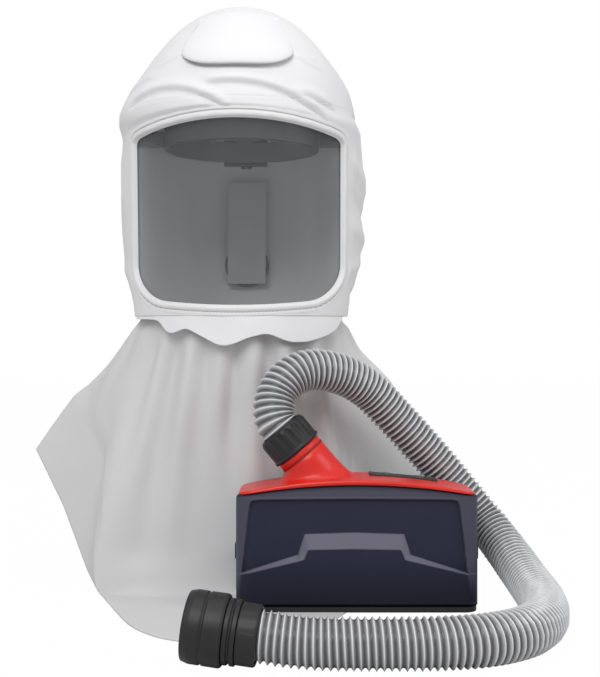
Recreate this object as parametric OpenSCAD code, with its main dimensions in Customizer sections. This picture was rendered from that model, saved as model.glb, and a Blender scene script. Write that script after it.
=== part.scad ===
// Powered air respirator: cloth hood with a clear visor and a shoulder cape,
// a blower unit that stands on the cape, and a ribbed breathing hose.
// Millimetres, +Z up, front towards -Y, origin on the floor under the hood's axis.

/* [Hood] */
// Height of the hood's top above the floor
hood_top_z = 628; // [590:1:660]
// Height where the crown is sewn to the sides
crown_seam_z = 505; // [495:1:515]
// Radius of the hood at the crown seam
crown_seam_r = 130; // [120:1:140]
// Largest radius of the hood's sides
hood_side_r = 139; // [134:1:146]
// Height of the neck, where the hood is gathered
neck_z = 284; // [276:1:290]
// Radius of the gathered neck
neck_r = 109; // [100:1:114]
// Thickness of the hood and cape cloth
cloth_t = 1.5; // [0.8:0.1:2.5]
// Angle of the cloth beside the visor, on each side of the front panel
panel_margin = 12; // [8:1:16]
// Seam gap between sewn panels
seam_gap = 0.4; // [0.2:0.1:0.8]

/* [Visor] */
// Width of the visor opening
visor_w = 222; // [200:1:226]
// Bottom of the visor opening
visor_bottom_z = 303; // [300:1:312]
// Height of the visor opening's sides
visor_side_h = 168; // [150:1:182]
// Rise of the arched top edge
visor_arch = 13; // [6:1:18]
// Drop of the bowed bottom edge
visor_bow = 10; // [2:1:14]
// Thickness of the clear sheet
visor_t = 1.2; // [0.8:0.1:2]
// How far the sheet laps behind the cloth
visor_lap = 8; // [4:0.5:10]

/* [Crown pad] */
// Width of the puffed pad on the crown's front
pad_w = 120; // [90:1:136]
// Height of the pad up the crown
pad_h = 74; // [50:1:80]
// How far the pad puffs out
pad_puff = 9; // [4:0.5:14]

/* [Cape] */
// Distance from the axis to the shoulder tip
cape_tip_x = 231; // [225:1:250]
// Height of the shoulder tip
cape_tip_z = 138; // [110:1:160]
// Reach of the hem over the floor, in front and behind
cape_reach = 308; // [290:1:312]
// Distance from the axis to the fold where the cape meets the floor
cape_fold_y = 120; // [112:1:124]
// Depth of the gathers below the neck
gather_depth = 5; // [1:0.5:8]
// Count of gathers round the neck
gathers = 11; // [5:2:11]
// Height of the frill under the visor panel
frill_h = 20; // [10:1:24]
// Wave of the frill's hem
frill_wave = 5; // [1:0.5:7]

/* [Harness] */
// Radius of the headband's inner face
headband_r = 84; // [76:1:92]
// Height of the headband's lower edge
headband_z = 470; // [455:1:480]
// Width of the headband
headband_w = 24; // [16:1:32]
// Thickness of the headband
headband_t = 2.2; // [1.6:0.1:3]
// Width of the straps over the head
strap_w = 18; // [12:1:24]
// Thickness of the sweatband
sweatband_t = 5; // [3:0.5:7]
// Radius of the head-size knob
knob_r = 17; // [13:0.5:20]

/* [Air inlet] */
// Outer radius of the hood's inlet tube
inlet_r = 19.9; // [17:0.1:22]
// Length of the inlet tube behind the hood
inlet_len = 34; // [26:1:44]
// Height of the inlet's axis
inlet_z = 350; // [320:1:370]
// Wall of the inlet tube
inlet_wall = 2.4; // [1.6:0.1:3.2]

/* [Blower] */
// Width of the blower
blower_w = 230; // [215:1:230]
// Depth of the blower
blower_d = 68; // [66:1:76]
// Position of the blower's left side
blower_x = 4; // [-2:1:5]
// Distance from the hood's axis to the blower's front face
blower_front_y = 200; // [198:1:206]
// Height of the blower's top in the middle
top_mid_z = 126.5; // [124:0.5:134]
// Height of the blower's top at its ends
top_end_z = 113.5; // [111:0.5:118]
// Thickness of the red top at its ends
top_edge_t = 2; // [1.5:0.5:4]
// Thickness of the red top in the middle
top_mid_t = 4.5; // [3.5:0.5:6]
// Corner radius of the blower seen from above
corner_r = 14; // [8:1:18]
// Wall of the casings
wall = 2.5; // [2:0.25:3.25]
// Thickness of the front filter cover
cover_t = 12; // [10:0.5:14]
// How far the cover's lower field stands out
relief_t = 5; // [2:0.5:7]
// Height of the base plate
base_h = 5; // [3:0.5:7]
// Height of the cover's stepped relief above the base
relief_z = 60; // [50:1:66]
// Width of the relief's raised middle
relief_mid_w = 100; // [70:1:130]
// Radius of the cover's hinge pin
hinge_pin_r = 2; // [1.5:0.25:2.5]

/* [Blower inside] */
// Radius of the impeller
impeller_r = 26.5; // [22:0.5:27]
// Count of impeller blades
blades = 24; // [12:1:30]
// Radius of the motor
motor_r = 14; // [11:0.5:15]
// Radius of the motor shaft
shaft_r = 2; // [1.5:0.25:3]
// Height of the battery
battery_h = 30; // [22:1:31]
// Length of the battery
battery_len = 150; // [110:1:160]
// Thickness of the particle filter
filter_t = 18; // [12:0.5:18]

/* [Outlet] */
// Lean of the outlet neck from upright
neck_lean = 40; // [30:1:45]
// Position of the neck's foot from the blower's left side
outlet_x = 81; // [76:1:92]
// Outer radius of the outlet neck
outlet_r = 23.5; // [22:0.5:24]
// Length of the neck from the blower's top to its collar
outlet_len = 34.5; // [33:0.5:36.5]
// Bore radius of the neck
outlet_bore_r = 17; // [14:0.5:18]
// Height of the turning collar
collar_h = 26; // [22:1:30]
// Outer radius of the turning collar
collar_r = 25; // [24.5:0.25:27]

/* [Hose] */
// Outer radius of the hose over its ribs
hose_r = 21.2; // [20:0.1:21.2]
// Depth of the groove between two ribs
rib_depth = 2.6; // [1.5:0.1:3]
// Bore radius of the hose
hose_bore_r = 16.6; // [14:0.2:17]
// Count of ribs
hose_ribs = 104; // [60:1:110]

/* [Connector] */
// Outer radius of the connector's big ring
ring_r = 29; // [27:0.5:29.2]
// Length of the big ring
ring_len = 32; // [28:1:38]
// Bore radius of the connector
connector_bore_r = 20; // [18:0.25:20.5]
// Outer radius of the fluted sleeve
cuff_r = 24.5; // [24:0.25:26]
// Length of the fluted sleeve
cuff_len = 16; // [14:1:20]

/* [Fits] */
// Clearance between loosely fitted pieces
fit_gap = 0.3; // [0.2:0.05:0.5]
// Radial clearance of a running shaft
run_gap = 0.05; // [0.02:0.01:0.1]

/* [Hidden] */
$fn = 48;

// General helpers
function lerp(a, b, t) = a + (b - a) * t;
function ease(t) = let (c = min(1, max(0, t))) c * c * (3 - 2 * c);
function unit(v) = v / norm(v);
function polar(r, a, z) = [r * sin(a), -r * cos(a), z];

// Faces of a thick sheet: n rows of m outer points, then the same of inner points.
// A wrapped sheet closes on itself; a domed one ends in one apex point a side.
function sheet_faces(n, m, wrap = false, dome = false) =
  let (o = n * m, last = wrap ? m - 1 : m - 2, e = (n - 1) * m)
  concat(
    [for (i = [0:n - 2], j = [0:last])
      let (a = i * m + j, b = i * m + (j + 1) % m, c = b + m, d = a + m)
      each [[a, b, c], [a, c, d], [o + a, o + c, o + b], [o + a, o + d, o + c]]],
    [for (j = [0:last])
      let (a = j, b = (j + 1) % m)
      each dome ? [[b, a, 2 * o], [o + a, o + b, 2 * o + 1]] : [[b, a, o + a], [b, o + a, o + b]]],
    [for (j = [0:last])
      let (a = e + j, b = e + (j + 1) % m)
      each [[a, b, o + b], [a, o + b, o + a]]],
    wrap ? [] : [for (i = [0:n - 2])
      let (a = i * m, d = a + m, b = a + m - 1, c = d + m - 1)
      each [[a, d, o + d], [a, o + d, o + a], [c, b, o + b], [c, o + b, o + c]]]
  );

module sheet(outer, inner, wrap = false, apex = []) {
  pts = concat([for (r = outer) each r], [for (r = inner) each r], apex);
  polyhedron(pts, sheet_faces(len(outer), len(outer[0]), wrap, len(apex) > 0));
}

// The hood's radius at a height and at an angle from the front
panel_stand_out = 12;
side_bulge = hood_side_r - lerp(neck_r, crown_seam_r, 0.5);
visor_half_angle = asin(visor_w / 2 / lerp(neck_r + panel_stand_out, crown_seam_r, 0.5));
panel_half_angle = visor_half_angle + panel_margin;
function hood_t(z) = (z - neck_z) / (crown_seam_z - neck_z);
function front_r(z) = lerp(neck_r + panel_stand_out, crown_seam_r, hood_t(z));
function side_r(z) =
  let (t = min(1, max(0, hood_t(z))))
  lerp(neck_r, crown_seam_r, t) + side_bulge * (1 - pow(2 * pow(t, 0.75) - 1, 2));
function hood_r(z, a) = lerp(front_r(z), side_r(z), ease((abs(a) - visor_half_angle) / 42));
crown_h = hood_top_z - crown_seam_z;
function crown_r(z) = crown_seam_r * pow(max(0, 1 - pow(max(0, z - crown_seam_z) / crown_h, 1.2)), 0.47);

// Rounded outline of n points a side and an edge, with a foot at height 0
function arc_points(x, z, r, from) =
  [for (k = [0:3]) [x + r * cos(from + 30 * k), z + r * sin(from + 30 * k)]];
function outline(w, h, upper, lower) =
  concat(
    [for (k = [1:13]) [lerp(lower - w / 2, w / 2 - lower, k / 14), 0]],
    arc_points(w / 2 - lower, lower, lower, -90),
    [for (k = [1:3]) [w / 2, lerp(lower, h - upper, k / 4)]],
    arc_points(w / 2 - upper, h - upper, upper, 0),
    [for (k = [1:13]) [lerp(w / 2 - upper, upper - w / 2, k / 14), h]],
    arc_points(upper - w / 2, h - upper, upper, 90),
    [for (k = [1:3]) [-w / 2, lerp(h - upper, lower, k / 4)]],
    arc_points(lower - w / 2, lower, lower, 180)
  );
visor_upper_r = 6;
visor_lower_r = 36;
visor_seat = 2.4;
// The visor opening, grown all round by g: its top arches up and its foot bows down
function visor_outline(g) = [
  for (p = outline(visor_w + 2 * g, visor_side_h + 2 * g, visor_upper_r + g, visor_lower_r + g))
    let (u = 1 - pow(p[0] / (visor_w / 2 + g), 2), up = p[1] > visor_side_h / 2)
    [p[0], visor_bottom_z - g + p[1] + (up ? visor_arch * u : -visor_bow * u)]
];

// Hood cloth
crown_cols = 32;
crown_rows = 6;
module hood_crown() {
  zs = [for (i = [1:crown_rows]) hood_top_z - crown_h * pow(i / crown_rows, 1.9) + seam_gap];
  outer = [for (z = zs) [for (j = [0:crown_cols - 1]) polar(crown_r(z), -360 * j / crown_cols, z)]];
  inner = [for (z = zs) [for (j = [0:crown_cols - 1])
    polar(crown_r(z) - cloth_t, -360 * j / crown_cols, z - cloth_t * (1 - crown_r(z) / crown_seam_r))]];
  color("whitesmoke") sheet(outer, inner, true, [[0, 0, hood_top_z], [0, 0, hood_top_z - cloth_t]]);
}

wrap_cols = 26;
wrap_rows = 7;
seam_angle = seam_gap / hood_side_r * 180 / PI;
module hood_wrap() {
  from = panel_half_angle + seam_angle;
  angles = [for (j = [0:wrap_cols - 1]) lerp(360 - from, from, j / (wrap_cols - 1))];
  zs = [for (i = [0:wrap_rows - 1]) lerp(crown_seam_z, neck_z, i / (wrap_rows - 1))];
  function r_at(z, a) = hood_r(z, a > 180 ? 360 - a : a);
  outer = [for (z = zs) [for (a = angles) polar(r_at(z, a), a, z)]];
  inner = [for (z = zs) [for (a = angles) polar(r_at(z, a) - cloth_t, a, z)]];
  color("white") difference() {
    sheet(outer, inner);
    translate([0, 0, inlet_z]) rotate([-90, 0, 0]) cylinder(r = inlet_root_r + fit_gap, h = 2 * hood_side_r);
  }
}

panel_rows = 3;
module face_panel() {
  edge = visor_outline(0);
  rim = [for (p = outline(2 * panel_half_angle, crown_seam_z - neck_z, 2, 2)) [p[0], p[1] + neck_z]];
  inner_rim = [for (p = edge) [asin(p[0] / front_r(p[1])), p[1]]];
  rows = [for (i = [0:panel_rows - 1]) [for (k = [0:len(rim) - 1])
    lerp(inner_rim[k], rim[k], i / (panel_rows - 1))]];
  outer = [for (row = rows) [for (p = row) polar(hood_r(p[1], p[0]), p[0], p[1])]];
  inner = [for (row = rows) [for (p = row) polar(hood_r(p[1], p[0]) - cloth_t, p[0], p[1])]];
  color("white") sheet(outer, inner, true);
}

module visor() {
  z0 = visor_bottom_z - visor_bow - visor_lap;
  z1 = visor_bottom_z + visor_side_h + visor_arch + visor_lap;
  function face_r(z) = front_r(z) - cloth_t - visor_seat;
  span = 2 * visor_half_angle + 40;
  color("lightslategray", 0.5) intersection() {
    rotate([0, 0, -90 - span / 2]) rotate_extrude(angle = span)
      polygon([[face_r(z0) - visor_t, z0], [face_r(z0), z0], [face_r(z1), z1], [face_r(z1) - visor_t, z1]]);
    rotate([90, 0, 0]) linear_extrude(2 * hood_side_r) polygon(visor_outline(visor_lap));
  }
}

pad_cols = 13;
pad_rows = 7;
pad_z = crown_seam_z + 39;
pad_tilt = 37;
module crown_pad() {
  function edge_puff(s, v) = sqrt(max(0, (1 - pow(s, 4)) * sin(180 * v)));
  function at(s, v, off) =
    let (z = pad_z + 0.8 * pad_h * v, half = asin(pad_w / 2 / crown_r(pad_z)))
    polar(crown_r(z) + off * cos(pad_tilt), s * half, z + off * sin(pad_tilt));
  ss = [for (j = [0:pad_cols - 1]) 1 - 2 * j / (pad_cols - 1)];
  vs = [for (i = [0:pad_rows - 1]) 1 - i / (pad_rows - 1)];
  seat = 0.4;
  outer = [for (v = vs) [for (s = ss) at(s, v, seat + 1 + pad_puff * edge_puff(s, v))]];
  inner = [for (v = vs) [for (s = ss) at(s, v, seat)]];
  color("ghostwhite") sheet([for (r = outer) [for (j = [pad_cols - 1:-1:0]) r[j]]],
    [for (r = inner) [for (j = [pad_cols - 1:-1:0]) r[j]]]);
}

frill_cols = 33;
frill_half_angle = 64;
frill_waves = 8;
// Depth of the frill's lobes over the angle, as shares of its height
frill_hem = [
  [-64, 0.15], [-41, 0.25], [-34, 0.97], [-25, 0.62], [-7, 1.6], [5, 1.18], [15, 0.92],
  [26, 1.4], [36, 1.38], [56, 0.8], [64, 0.4]
];
module neck_frill() {
  angles = [for (j = [0:frill_cols - 1]) lerp(-frill_half_angle, frill_half_angle, j / (frill_cols - 1))];
  function wave(a) = cos(a * 180 / frill_half_angle * frill_waves / 2);
  function at(a, v, off) = polar(
    hood_r(neck_z, a) + off + v * frill_wave / 2 * (1 + wave(a)),
    a,
    neck_z - seam_gap - v * frill_h * lookup(a, frill_hem)
  );
  vs = [0, 0.5, 1];
  color("white") sheet([for (v = vs) [for (a = angles) at(a, v, 0)]],
    [for (v = vs) [for (a = angles) at(a, v, -cloth_t)]]);
}

elastic_w = 8;
elastic_t = 2;
module neck_elastic() {
  color("silver") translate([0, 0, neck_z - seam_gap - elastic_w]) rotate_extrude()
    translate([neck_r - cloth_t - fit_gap - elastic_t, 0]) square([elastic_t, elastic_w]);
}

// Cape: from the neck down to the floor in front and behind, out to a tip at each shoulder.
// The hem's shares run over the angle from the front or back to the shoulder.
cape_cols = 44;
cape_rows = 11;
fold_angle = 45;
fold_row = 0.6;
hem_x_share = [[0, 0], [10, 0.23], [20, 0.38], [35, 0.567], [45, 0.606], [55, 0.68], [70, 0.822], [90, 1]];
hem_y_share = [[0, 1], [10, 0.948], [20, 0.81], [35, 0.455], [45, 0.39], [55, 0.26], [70, 0.146], [90, 0]];
hem_z_share = [[0, 0], [fold_angle, 0], [55, 0.123], [70, 0.58], [90, 1]];
function cape_point(s, t) =
  let (
    top = [neck_r * sin(s), neck_r * cos(s), neck_z - seam_gap],
    hem = [cape_tip_x * lookup(s, hem_x_share), cape_reach * lookup(s, hem_y_share),
      cape_tip_z * lookup(s, hem_z_share)],
    flat = [cape_tip_x * lookup(fold_angle, hem_x_share) * s / fold_angle, cape_fold_y, 0],
    slope = lerp(top, hem, fold_row),
    fold = lerp(flat, slope, ease((s - fold_angle) / 10))
  )
  t < fold_row ? lerp(top, fold, t / fold_row) : lerp(fold, hem, (t - fold_row) / (1 - fold_row));
function gather(a, t) = gather_depth * cos(gathers * a) * ease(t / 0.15) * (1 - ease((t - 0.2) / 0.35));
function cape_at(a, t, off) =
  let (
    b = abs(a) > 90 ? 180 - abs(a) : abs(a),
    p = cape_point(b, t),
    side = a < 0 ? -1 : 1,
    front = abs(a) > 90 ? 1 : -1,
    lift = ease(t / 0.1) * (b < fold_angle ? 0.1 + 0.9 * ease((t - 0.4) / (fold_row - 0.4)) : 0.65),
    out = unit([sin(b) * side, cos(b) * front, 0] * (1 - lift) + [0, 0, lift])
  )
  [p[0] * side, p[1] * front, p[2]] + out * (off + (b < fold_angle || t < 0.9 ? gather(a, t) : 0));
module cape() {
  angles = [for (j = [0:cape_cols - 1]) 180 - 360 * j / cape_cols];
  ts = [for (i = [0:cape_rows - 1]) i / (cape_rows - 1)];
  color("gainsboro") sheet([for (t = ts) [for (a = angles) cape_at(-a, t, cloth_t)]],
    [for (t = ts) [for (a = angles) cape_at(-a, t, 0)]], true);
}

// Head harness inside the hood
band_mid_z = headband_z + headband_w / 2;
band_out_r = headband_r + headband_t;
module headband() {
  color("dimgray") translate([0, 0, headband_z]) rotate_extrude()
    translate([headband_r, 0]) square([headband_t, headband_w]);
}

module crown_straps() {
  color("dimgray") translate([0, 0, headband_z + headband_w]) for (turn = [0, 90])
    rotate([0, 0, turn]) rotate([90, 0, 0]) rotate_extrude(angle = 180)
      translate([headband_r, -strap_w / 2]) square([headband_t, strap_w]);
}

sweatband_span = 150;
sweatband_over = 2;
module sweatband() {
  color("darkslategray") translate([0, 0, headband_z - sweatband_over])
    rotate([0, 0, -90 - sweatband_span / 2])
    rotate_extrude(angle = sweatband_span) translate([headband_r - fit_gap - sweatband_t, 0])
      square([sweatband_t, headband_w + 2 * sweatband_over]);
}

hanger_w = 12;
hanger_h = 16;
facet_gap = 1.7;
module side_hangers() {
  start = band_out_r + fit_gap;
  inside = min(hood_r(band_mid_z + hanger_h / 2, 90), hood_r(band_mid_z - hanger_h / 2, 90));
  end = inside - cloth_t - facet_gap;
  color("dimgray") for (turn = [0, 180]) rotate([0, 0, turn])
    translate([start, -hanger_w / 2, band_mid_z - hanger_h / 2]) cube([end - start, hanger_w, hanger_h]);
}

housing_w = 52;
housing_d = 9;
housing_h = 30;
knob_h = 11;
knob_shaft_r = 4;
knob_shaft_len = 6;
knob_flutes = 12;
housing_y = band_out_r + fit_gap;
module ratchet_housing() {
  color("black") difference() {
    translate([-housing_w / 2, housing_y, band_mid_z - housing_h / 2])
      cube([housing_w, housing_d, housing_h]);
    translate([0, housing_y + housing_d - knob_shaft_len - fit_gap, band_mid_z]) rotate([-90, 0, 0])
      cylinder(r = knob_shaft_r + run_gap, h = 2 * knob_shaft_len);
  }
}

module ratchet_knob() {
  color("gray") translate([0, housing_y + housing_d + fit_gap, band_mid_z]) rotate([-90, 0, 0]) {
    difference() {
      cylinder(r = knob_r, h = knob_h);
      for (k = [0:knob_flutes - 1]) rotate(360 * k / knob_flutes) translate([knob_r + 1.5, 0, -1])
        cylinder(r = 3, h = knob_h + 2);
    }
    translate([0, 0, -knob_shaft_len]) cylinder(r = knob_shaft_r, h = knob_shaft_len + 1);
  }
}

// Air inlet at the back of the hood
inlet_flange_r = inlet_r + 7;
inlet_flange_t = 3;
inlet_root_r = inlet_r + 1.1;
inlet_nut_t = 6;
function back_dip(z) = hood_r(z, 180) - sqrt(pow(hood_r(z, 180), 2) - pow(inlet_flange_r, 2));
inlet_in_y = hood_r(inlet_z - inlet_flange_r, 180) - cloth_t - back_dip(inlet_z);
inlet_out_y = hood_r(inlet_z + inlet_flange_r, 180) + fit_gap;
inlet_bore_r = inlet_r - inlet_wall;
module inlet_spigot() {
  start = inlet_in_y - inlet_flange_t;
  color("black") translate([0, start, inlet_z]) rotate([-90, 0, 0]) difference() {
    union() {
      cylinder(r = inlet_flange_r, h = inlet_flange_t);
      cylinder(r = inlet_root_r, h = inlet_out_y + inlet_nut_t + fit_gap - start);
      cylinder(r = inlet_r, h = inlet_out_y + inlet_len - start);
    }
    translate([0, 0, -1]) cylinder(r = inlet_bore_r, h = 4 * inlet_len);
  }
}

module inlet_nut() {
  color("dimgray") translate([0, inlet_out_y, inlet_z]) rotate([-90, 0, 0]) difference() {
    cylinder(r = inlet_flange_r, h = inlet_nut_t);
    translate([0, 0, -1]) cylinder(r = inlet_root_r + fit_gap, h = inlet_nut_t + 2);
    for (k = [0:11]) rotate(30 * k) translate([inlet_flange_r + 1, 0, -1])
      cylinder(r = 2.5, h = inlet_nut_t + 2);
  }
}

duct_w = 46;
duct_d = 10;
duct_wall = 1.6;
duct_top_gap = 20;
module air_duct() {
  back = inlet_in_y - inlet_flange_t - fit_gap;
  foot = inlet_z - duct_w / 2;
  top = headband_z - duct_top_gap;
  color("lightgray") difference() {
    translate([-duct_w / 2, back - duct_d, foot]) cube([duct_w, duct_d, top - foot]);
    translate([duct_wall - duct_w / 2, back - duct_d + duct_wall, foot + duct_wall])
      cube([duct_w - 2 * duct_wall, duct_d - 2 * duct_wall, top - foot]);
    translate([0, back - duct_d / 2, inlet_z]) rotate([-90, 0, 0]) cylinder(r = inlet_bore_r, h = duct_d);
  }
}

// Blower frame: the base stands on the cape's cloth
front_y = -blower_front_y;
back_y = front_y + blower_d;
mid_y = front_y + blower_d / 2;
mid_x = blower_x + blower_w / 2;
right_x = blower_x + blower_w;
base_z = cloth_t + fit_gap;
base_top = base_z + base_h;
part_end_z = top_end_z - top_edge_t;
part_mid_z = top_mid_z - top_mid_t;
parting_gap = 0.2;
casing_y = front_y + cover_t;
rear_wall = 8;
prefilter_t = 1.7;
gasket_t = 2;
divider_y = casing_y + prefilter_t + filter_t + gasket_t + 3 * fit_gap;
fan_front_y = divider_y + wall;
fan_back_y = back_y - rear_wall;
bay_z = base_top + wall;
bay_top = bay_z + battery_h + 2 * fit_gap;
ceiling_z = part_end_z - wall;
function arc_r(rise) = (pow(blower_w / 2, 2) + pow(rise, 2)) / (2 * rise);
function top_z(x) = let (r = arc_r(top_mid_z - top_end_z)) top_mid_z - r + sqrt(r * r - pow(x - mid_x, 2));

module rounded_2d(w, d, r) {
  translate([r, 0]) square([w - 2 * r, d]);
  translate([0, r]) square([w, d - 2 * r]);
  for (x = [r, w - r], y = [r, d - r]) translate([x, y]) circle(r);
}

// Everything inside the blower's plan outline, with its upper ends rounded off as seen from the front
end_r = 11;
end_steps = 4;
end_z = top_end_z + 2 - end_r;
module plan(inset = 0) {
  corner = [for (k = [0:end_steps]) end_r * [1 - cos(90 * k / end_steps), sin(90 * k / end_steps)]];
  intersection() {
    translate([blower_x + inset, front_y + inset, base_z])
      linear_extrude(2 * top_mid_z) rounded_2d(blower_w - 2 * inset, blower_d - 2 * inset, corner_r - inset);
    translate([0, back_y + 1, 0]) rotate([90, 0, 0]) linear_extrude(blower_d + 2) polygon(concat(
      [[right_x, 0], [blower_x, 0]],
      [for (p = corner) [blower_x + p[0], end_z + p[1]]],
      [[mid_x, 2 * top_mid_z]],
      [for (k = [end_steps:-1:0]) [right_x - corner[k][0], end_z + corner[k][1]]]
    ));
  }
}

// Everything under a crowned line across the blower
module under_arc(end_z, crown_z) {
  r = arc_r(crown_z - end_z);
  translate([0, back_y + 1, 0]) rotate([90, 0, 0]) linear_extrude(blower_d + 2) intersection() {
    translate([blower_x - 1, 0]) square([blower_w + 2, 2 * top_mid_z]);
    translate([mid_x, crown_z - r]) circle(r, $fn = 256);
  }
}

module box(x0, x1, y0, y1, z0, z1) {
  translate([x0, y0, z0]) cube([x1 - x0, y1 - y0, z1 - z0]);
}

barrel_r = (cover_t - fit_gap) / 2;
hinge_y = front_y + barrel_r;
hinge_z = base_top + fit_gap + barrel_r;
ear_r = barrel_r - 1.85;
ear_w = 6;
ear_inset = 16;
ear_clear = 1;
ear_half = 2;
ear_back = 4;
foot_r = 6;
base_inset = 1;
module base_plate() {
  color("black") {
    intersection() {
      plan(base_inset);
      box(blower_x, right_x, front_y, back_y, base_z, base_top);
    }
    for (x = [blower_x + ear_inset, right_x - ear_inset - ear_w]) difference() {
      union() {
        translate([x, hinge_y, hinge_z]) rotate([0, 90, 0]) cylinder(r = ear_r, h = ear_w);
        box(x, x + ear_w, hinge_y, casing_y + ear_back, hinge_z - ear_half, hinge_z + ear_half);
        box(x, x + ear_w, casing_y, casing_y + ear_back, base_top - 1, hinge_z + ear_half);
      }
      hinge_line(hinge_pin_r + fit_gap / 6, 0);
    }
    for (x = [right_x - 75, right_x - 16], y = [front_y + 16, back_y - 16])
      translate([x, y, 0]) cylinder(r = foot_r, h = base_z + 1);
  }
}

// A round bar along the hinge's axis, cut back at both ends
module hinge_line(r, cut) {
  translate([blower_x + ear_inset - 1 + cut, hinge_y, hinge_z]) rotate([0, 90, 0])
    cylinder(r = r, h = blower_w - 2 * (ear_inset - 1 + cut));
}

module hinge_pin() {
  color("silver") hinge_line(hinge_pin_r, 0.5);
}

latch_z = 50;
latch_h = 14;
latch_d = 20;
latch_len = 6.4;
latch_proud = 1.1;
latch_travel = 2.5;
latch_y = casing_y + 3;
pocket_depth = latch_len - latch_proud + latch_travel + fit_gap;
module latch_pocket(side) {
  wide = fit_gap;
  x = side < 0 ? blower_x - 1 : right_x - pocket_depth;
  box(
    x, x + pocket_depth + 1, latch_y - wide, latch_y + latch_d + wide,
    latch_z - wide, latch_z + latch_h + wide
  );
}
module latch(side) {
  x = side < 0 ? blower_x - latch_proud : right_x + latch_proud - latch_len;
  color("darkslategray") difference() {
    box(x, x + latch_len, latch_y, latch_y + latch_d, latch_z, latch_z + latch_h);
    for (k = [1:3]) translate([side < 0 ? x : x + latch_len, latch_y + k * latch_d / 4, latch_z - 1])
      cylinder(r = 0.8, h = latch_h + 2);
  }
}
module latch_left() { latch(-1); }
module latch_right() { latch(1); }

pocket_side = 14;
pocket_low = 10;
loop_w = 16;
loop_t = 3;
loop_pocket_w = 44;
loop_pocket_h = 50;
loop_pocket_d = 5;
loop_z = 66;
loop_overlap = 6;
loop_spread = 110;
screw_r = 1.5;
screw_head_r = 3.2;
screw_head_h = 2;
screw_len = 5;
screw_inset = 22;
vent_w = 22;
vent_d = 13;
fan_x = mid_x;
fan_wall = 2;
fan_r = impeller_r + 3 + fan_wall;
fan_z = bay_top + wall + fit_gap + fan_r;
fan_mouth_r = 20;
module on_back() {
  for (x = [blower_x + screw_inset, right_x - screw_inset], z = [base_top + screw_inset, ceiling_z - 6])
    translate([x, back_y, z]) rotate([90, 0, 0]) children();
}

module rear_casing() {
  color("midnightblue") difference() {
    intersection() {
      plan();
      under_arc(part_end_z - parting_gap, part_mid_z - parting_gap);
      box(blower_x - 1, right_x + 1, casing_y, back_y + 1, base_top, top_mid_z);
    }
    filter_space(0);
    box(blower_x + wall, right_x - wall, fan_front_y, fan_back_y, bay_top + wall, ceiling_z);
    box(blower_x - 1, blower_x + battery_len + fit_gap, fan_front_y, fan_back_y, bay_z, bay_top);
    translate([fan_x, fan_front_y + 1, fan_z]) rotate([90, 0, 0]) cylinder(r = fan_mouth_r, h = wall + 2);
    latch_pocket(-1);
    latch_pocket(1);
    for (x = [blower_x + ear_inset, right_x - ear_inset - ear_w])
      box(
        x - fit_gap, x + ear_w + fit_gap, casing_y - 1, casing_y + ear_back + fit_gap,
        base_z, hinge_z + ear_half + fit_gap
      );
    box(blower_x + outlet_x - vent_w / 3, blower_x + outlet_x + vent_w, fan_front_y, fan_front_y + vent_d,
      ceiling_z - 1, top_mid_z);
    for (side = [-1, 1]) translate([mid_x + side * loop_spread / 2 - loop_pocket_w / 2, 0, 0])
      box(
        0, loop_pocket_w, back_y - loop_pocket_d, back_y + 1,
        loop_z - loop_pocket_h / 2, loop_z + loop_pocket_h / 2
      );
    on_back() translate([0, 0, -1]) {
      cylinder(r = screw_head_r + fit_gap, h = 1 + screw_head_h + fit_gap);
      cylinder(r = screw_r + fit_gap, h = 1 + screw_head_h + screw_len + fit_gap);
    }
  }
}

module casing_screws() {
  color("silver") on_back() difference() {
    union() {
      cylinder(r = screw_head_r, h = screw_head_h);
      cylinder(r = screw_r, h = screw_head_h + screw_len);
    }
    for (turn = [0, 90]) rotate(turn) translate([-2, -0.4, -1]) cube([4, 0.8, 2]);
  }
}

module belt_loops() {
  color("black") for (side = [-1, 1]) translate([mid_x + side * loop_spread / 2 - loop_w / 2, 0, 0])
    box(0, loop_w, back_y, back_y + loop_t,
      loop_z - loop_pocket_h / 2 - loop_overlap, loop_z + loop_pocket_h / 2 + loop_overlap);
}

module filter_space(gap, y0 = casing_y - 1, y1 = divider_y) {
  box(
    blower_x + pocket_side + gap, right_x - pocket_side - gap, y0, y1,
    base_top + pocket_low + gap, ceiling_z - 3 - gap
  );
}

// Front cover: a slab hinged at its foot, with a lower field that stands out
cover_gap = 0.5;
module filter_cover() {
  notch = ear_w + 2 * ear_clear;
  color("darkslateblue") difference() {
    intersection() {
      plan();
      under_arc(part_end_z - cover_gap, part_mid_z - cover_gap);
      union() {
        box(blower_x, right_x, front_y + relief_t, casing_y - fit_gap, hinge_z, top_mid_z);
        hinge_line(barrel_r, 0.5 - ear_inset);
        translate([mid_x, front_y + relief_t + 1, base_top]) rotate([90, 0, 0]) linear_extrude(relief_t + 1)
          relief_2d();
      }
    }
    hinge_line(hinge_pin_r + run_gap, -2 * ear_inset);
    for (x = [blower_x + ear_inset - ear_clear, right_x - ear_inset - ear_clear - ear_w]) {
      translate([x, hinge_y, hinge_z]) rotate([0, 90, 0]) cylinder(r = ear_r + ear_clear, h = notch);
      box(x, x + notch, hinge_y - ear_half - ear_clear, casing_y, base_z, hinge_z + ear_half + ear_clear);
    }
  }
}

module relief_2d() {
  foot = hinge_z - base_top;
  wing = 0.53 * relief_z;
  knee = 0.76 * relief_z;
  polygon([
    [-blower_w / 2, foot], [blower_w / 2, foot], [blower_w / 2, wing], [relief_mid_w / 2 + 2, knee],
    [relief_mid_w / 2 - 3, relief_z], [3 - relief_mid_w / 2, relief_z], [-relief_mid_w / 2 - 2, knee],
    [-blower_w / 2, wing]
  ]);
}

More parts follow.
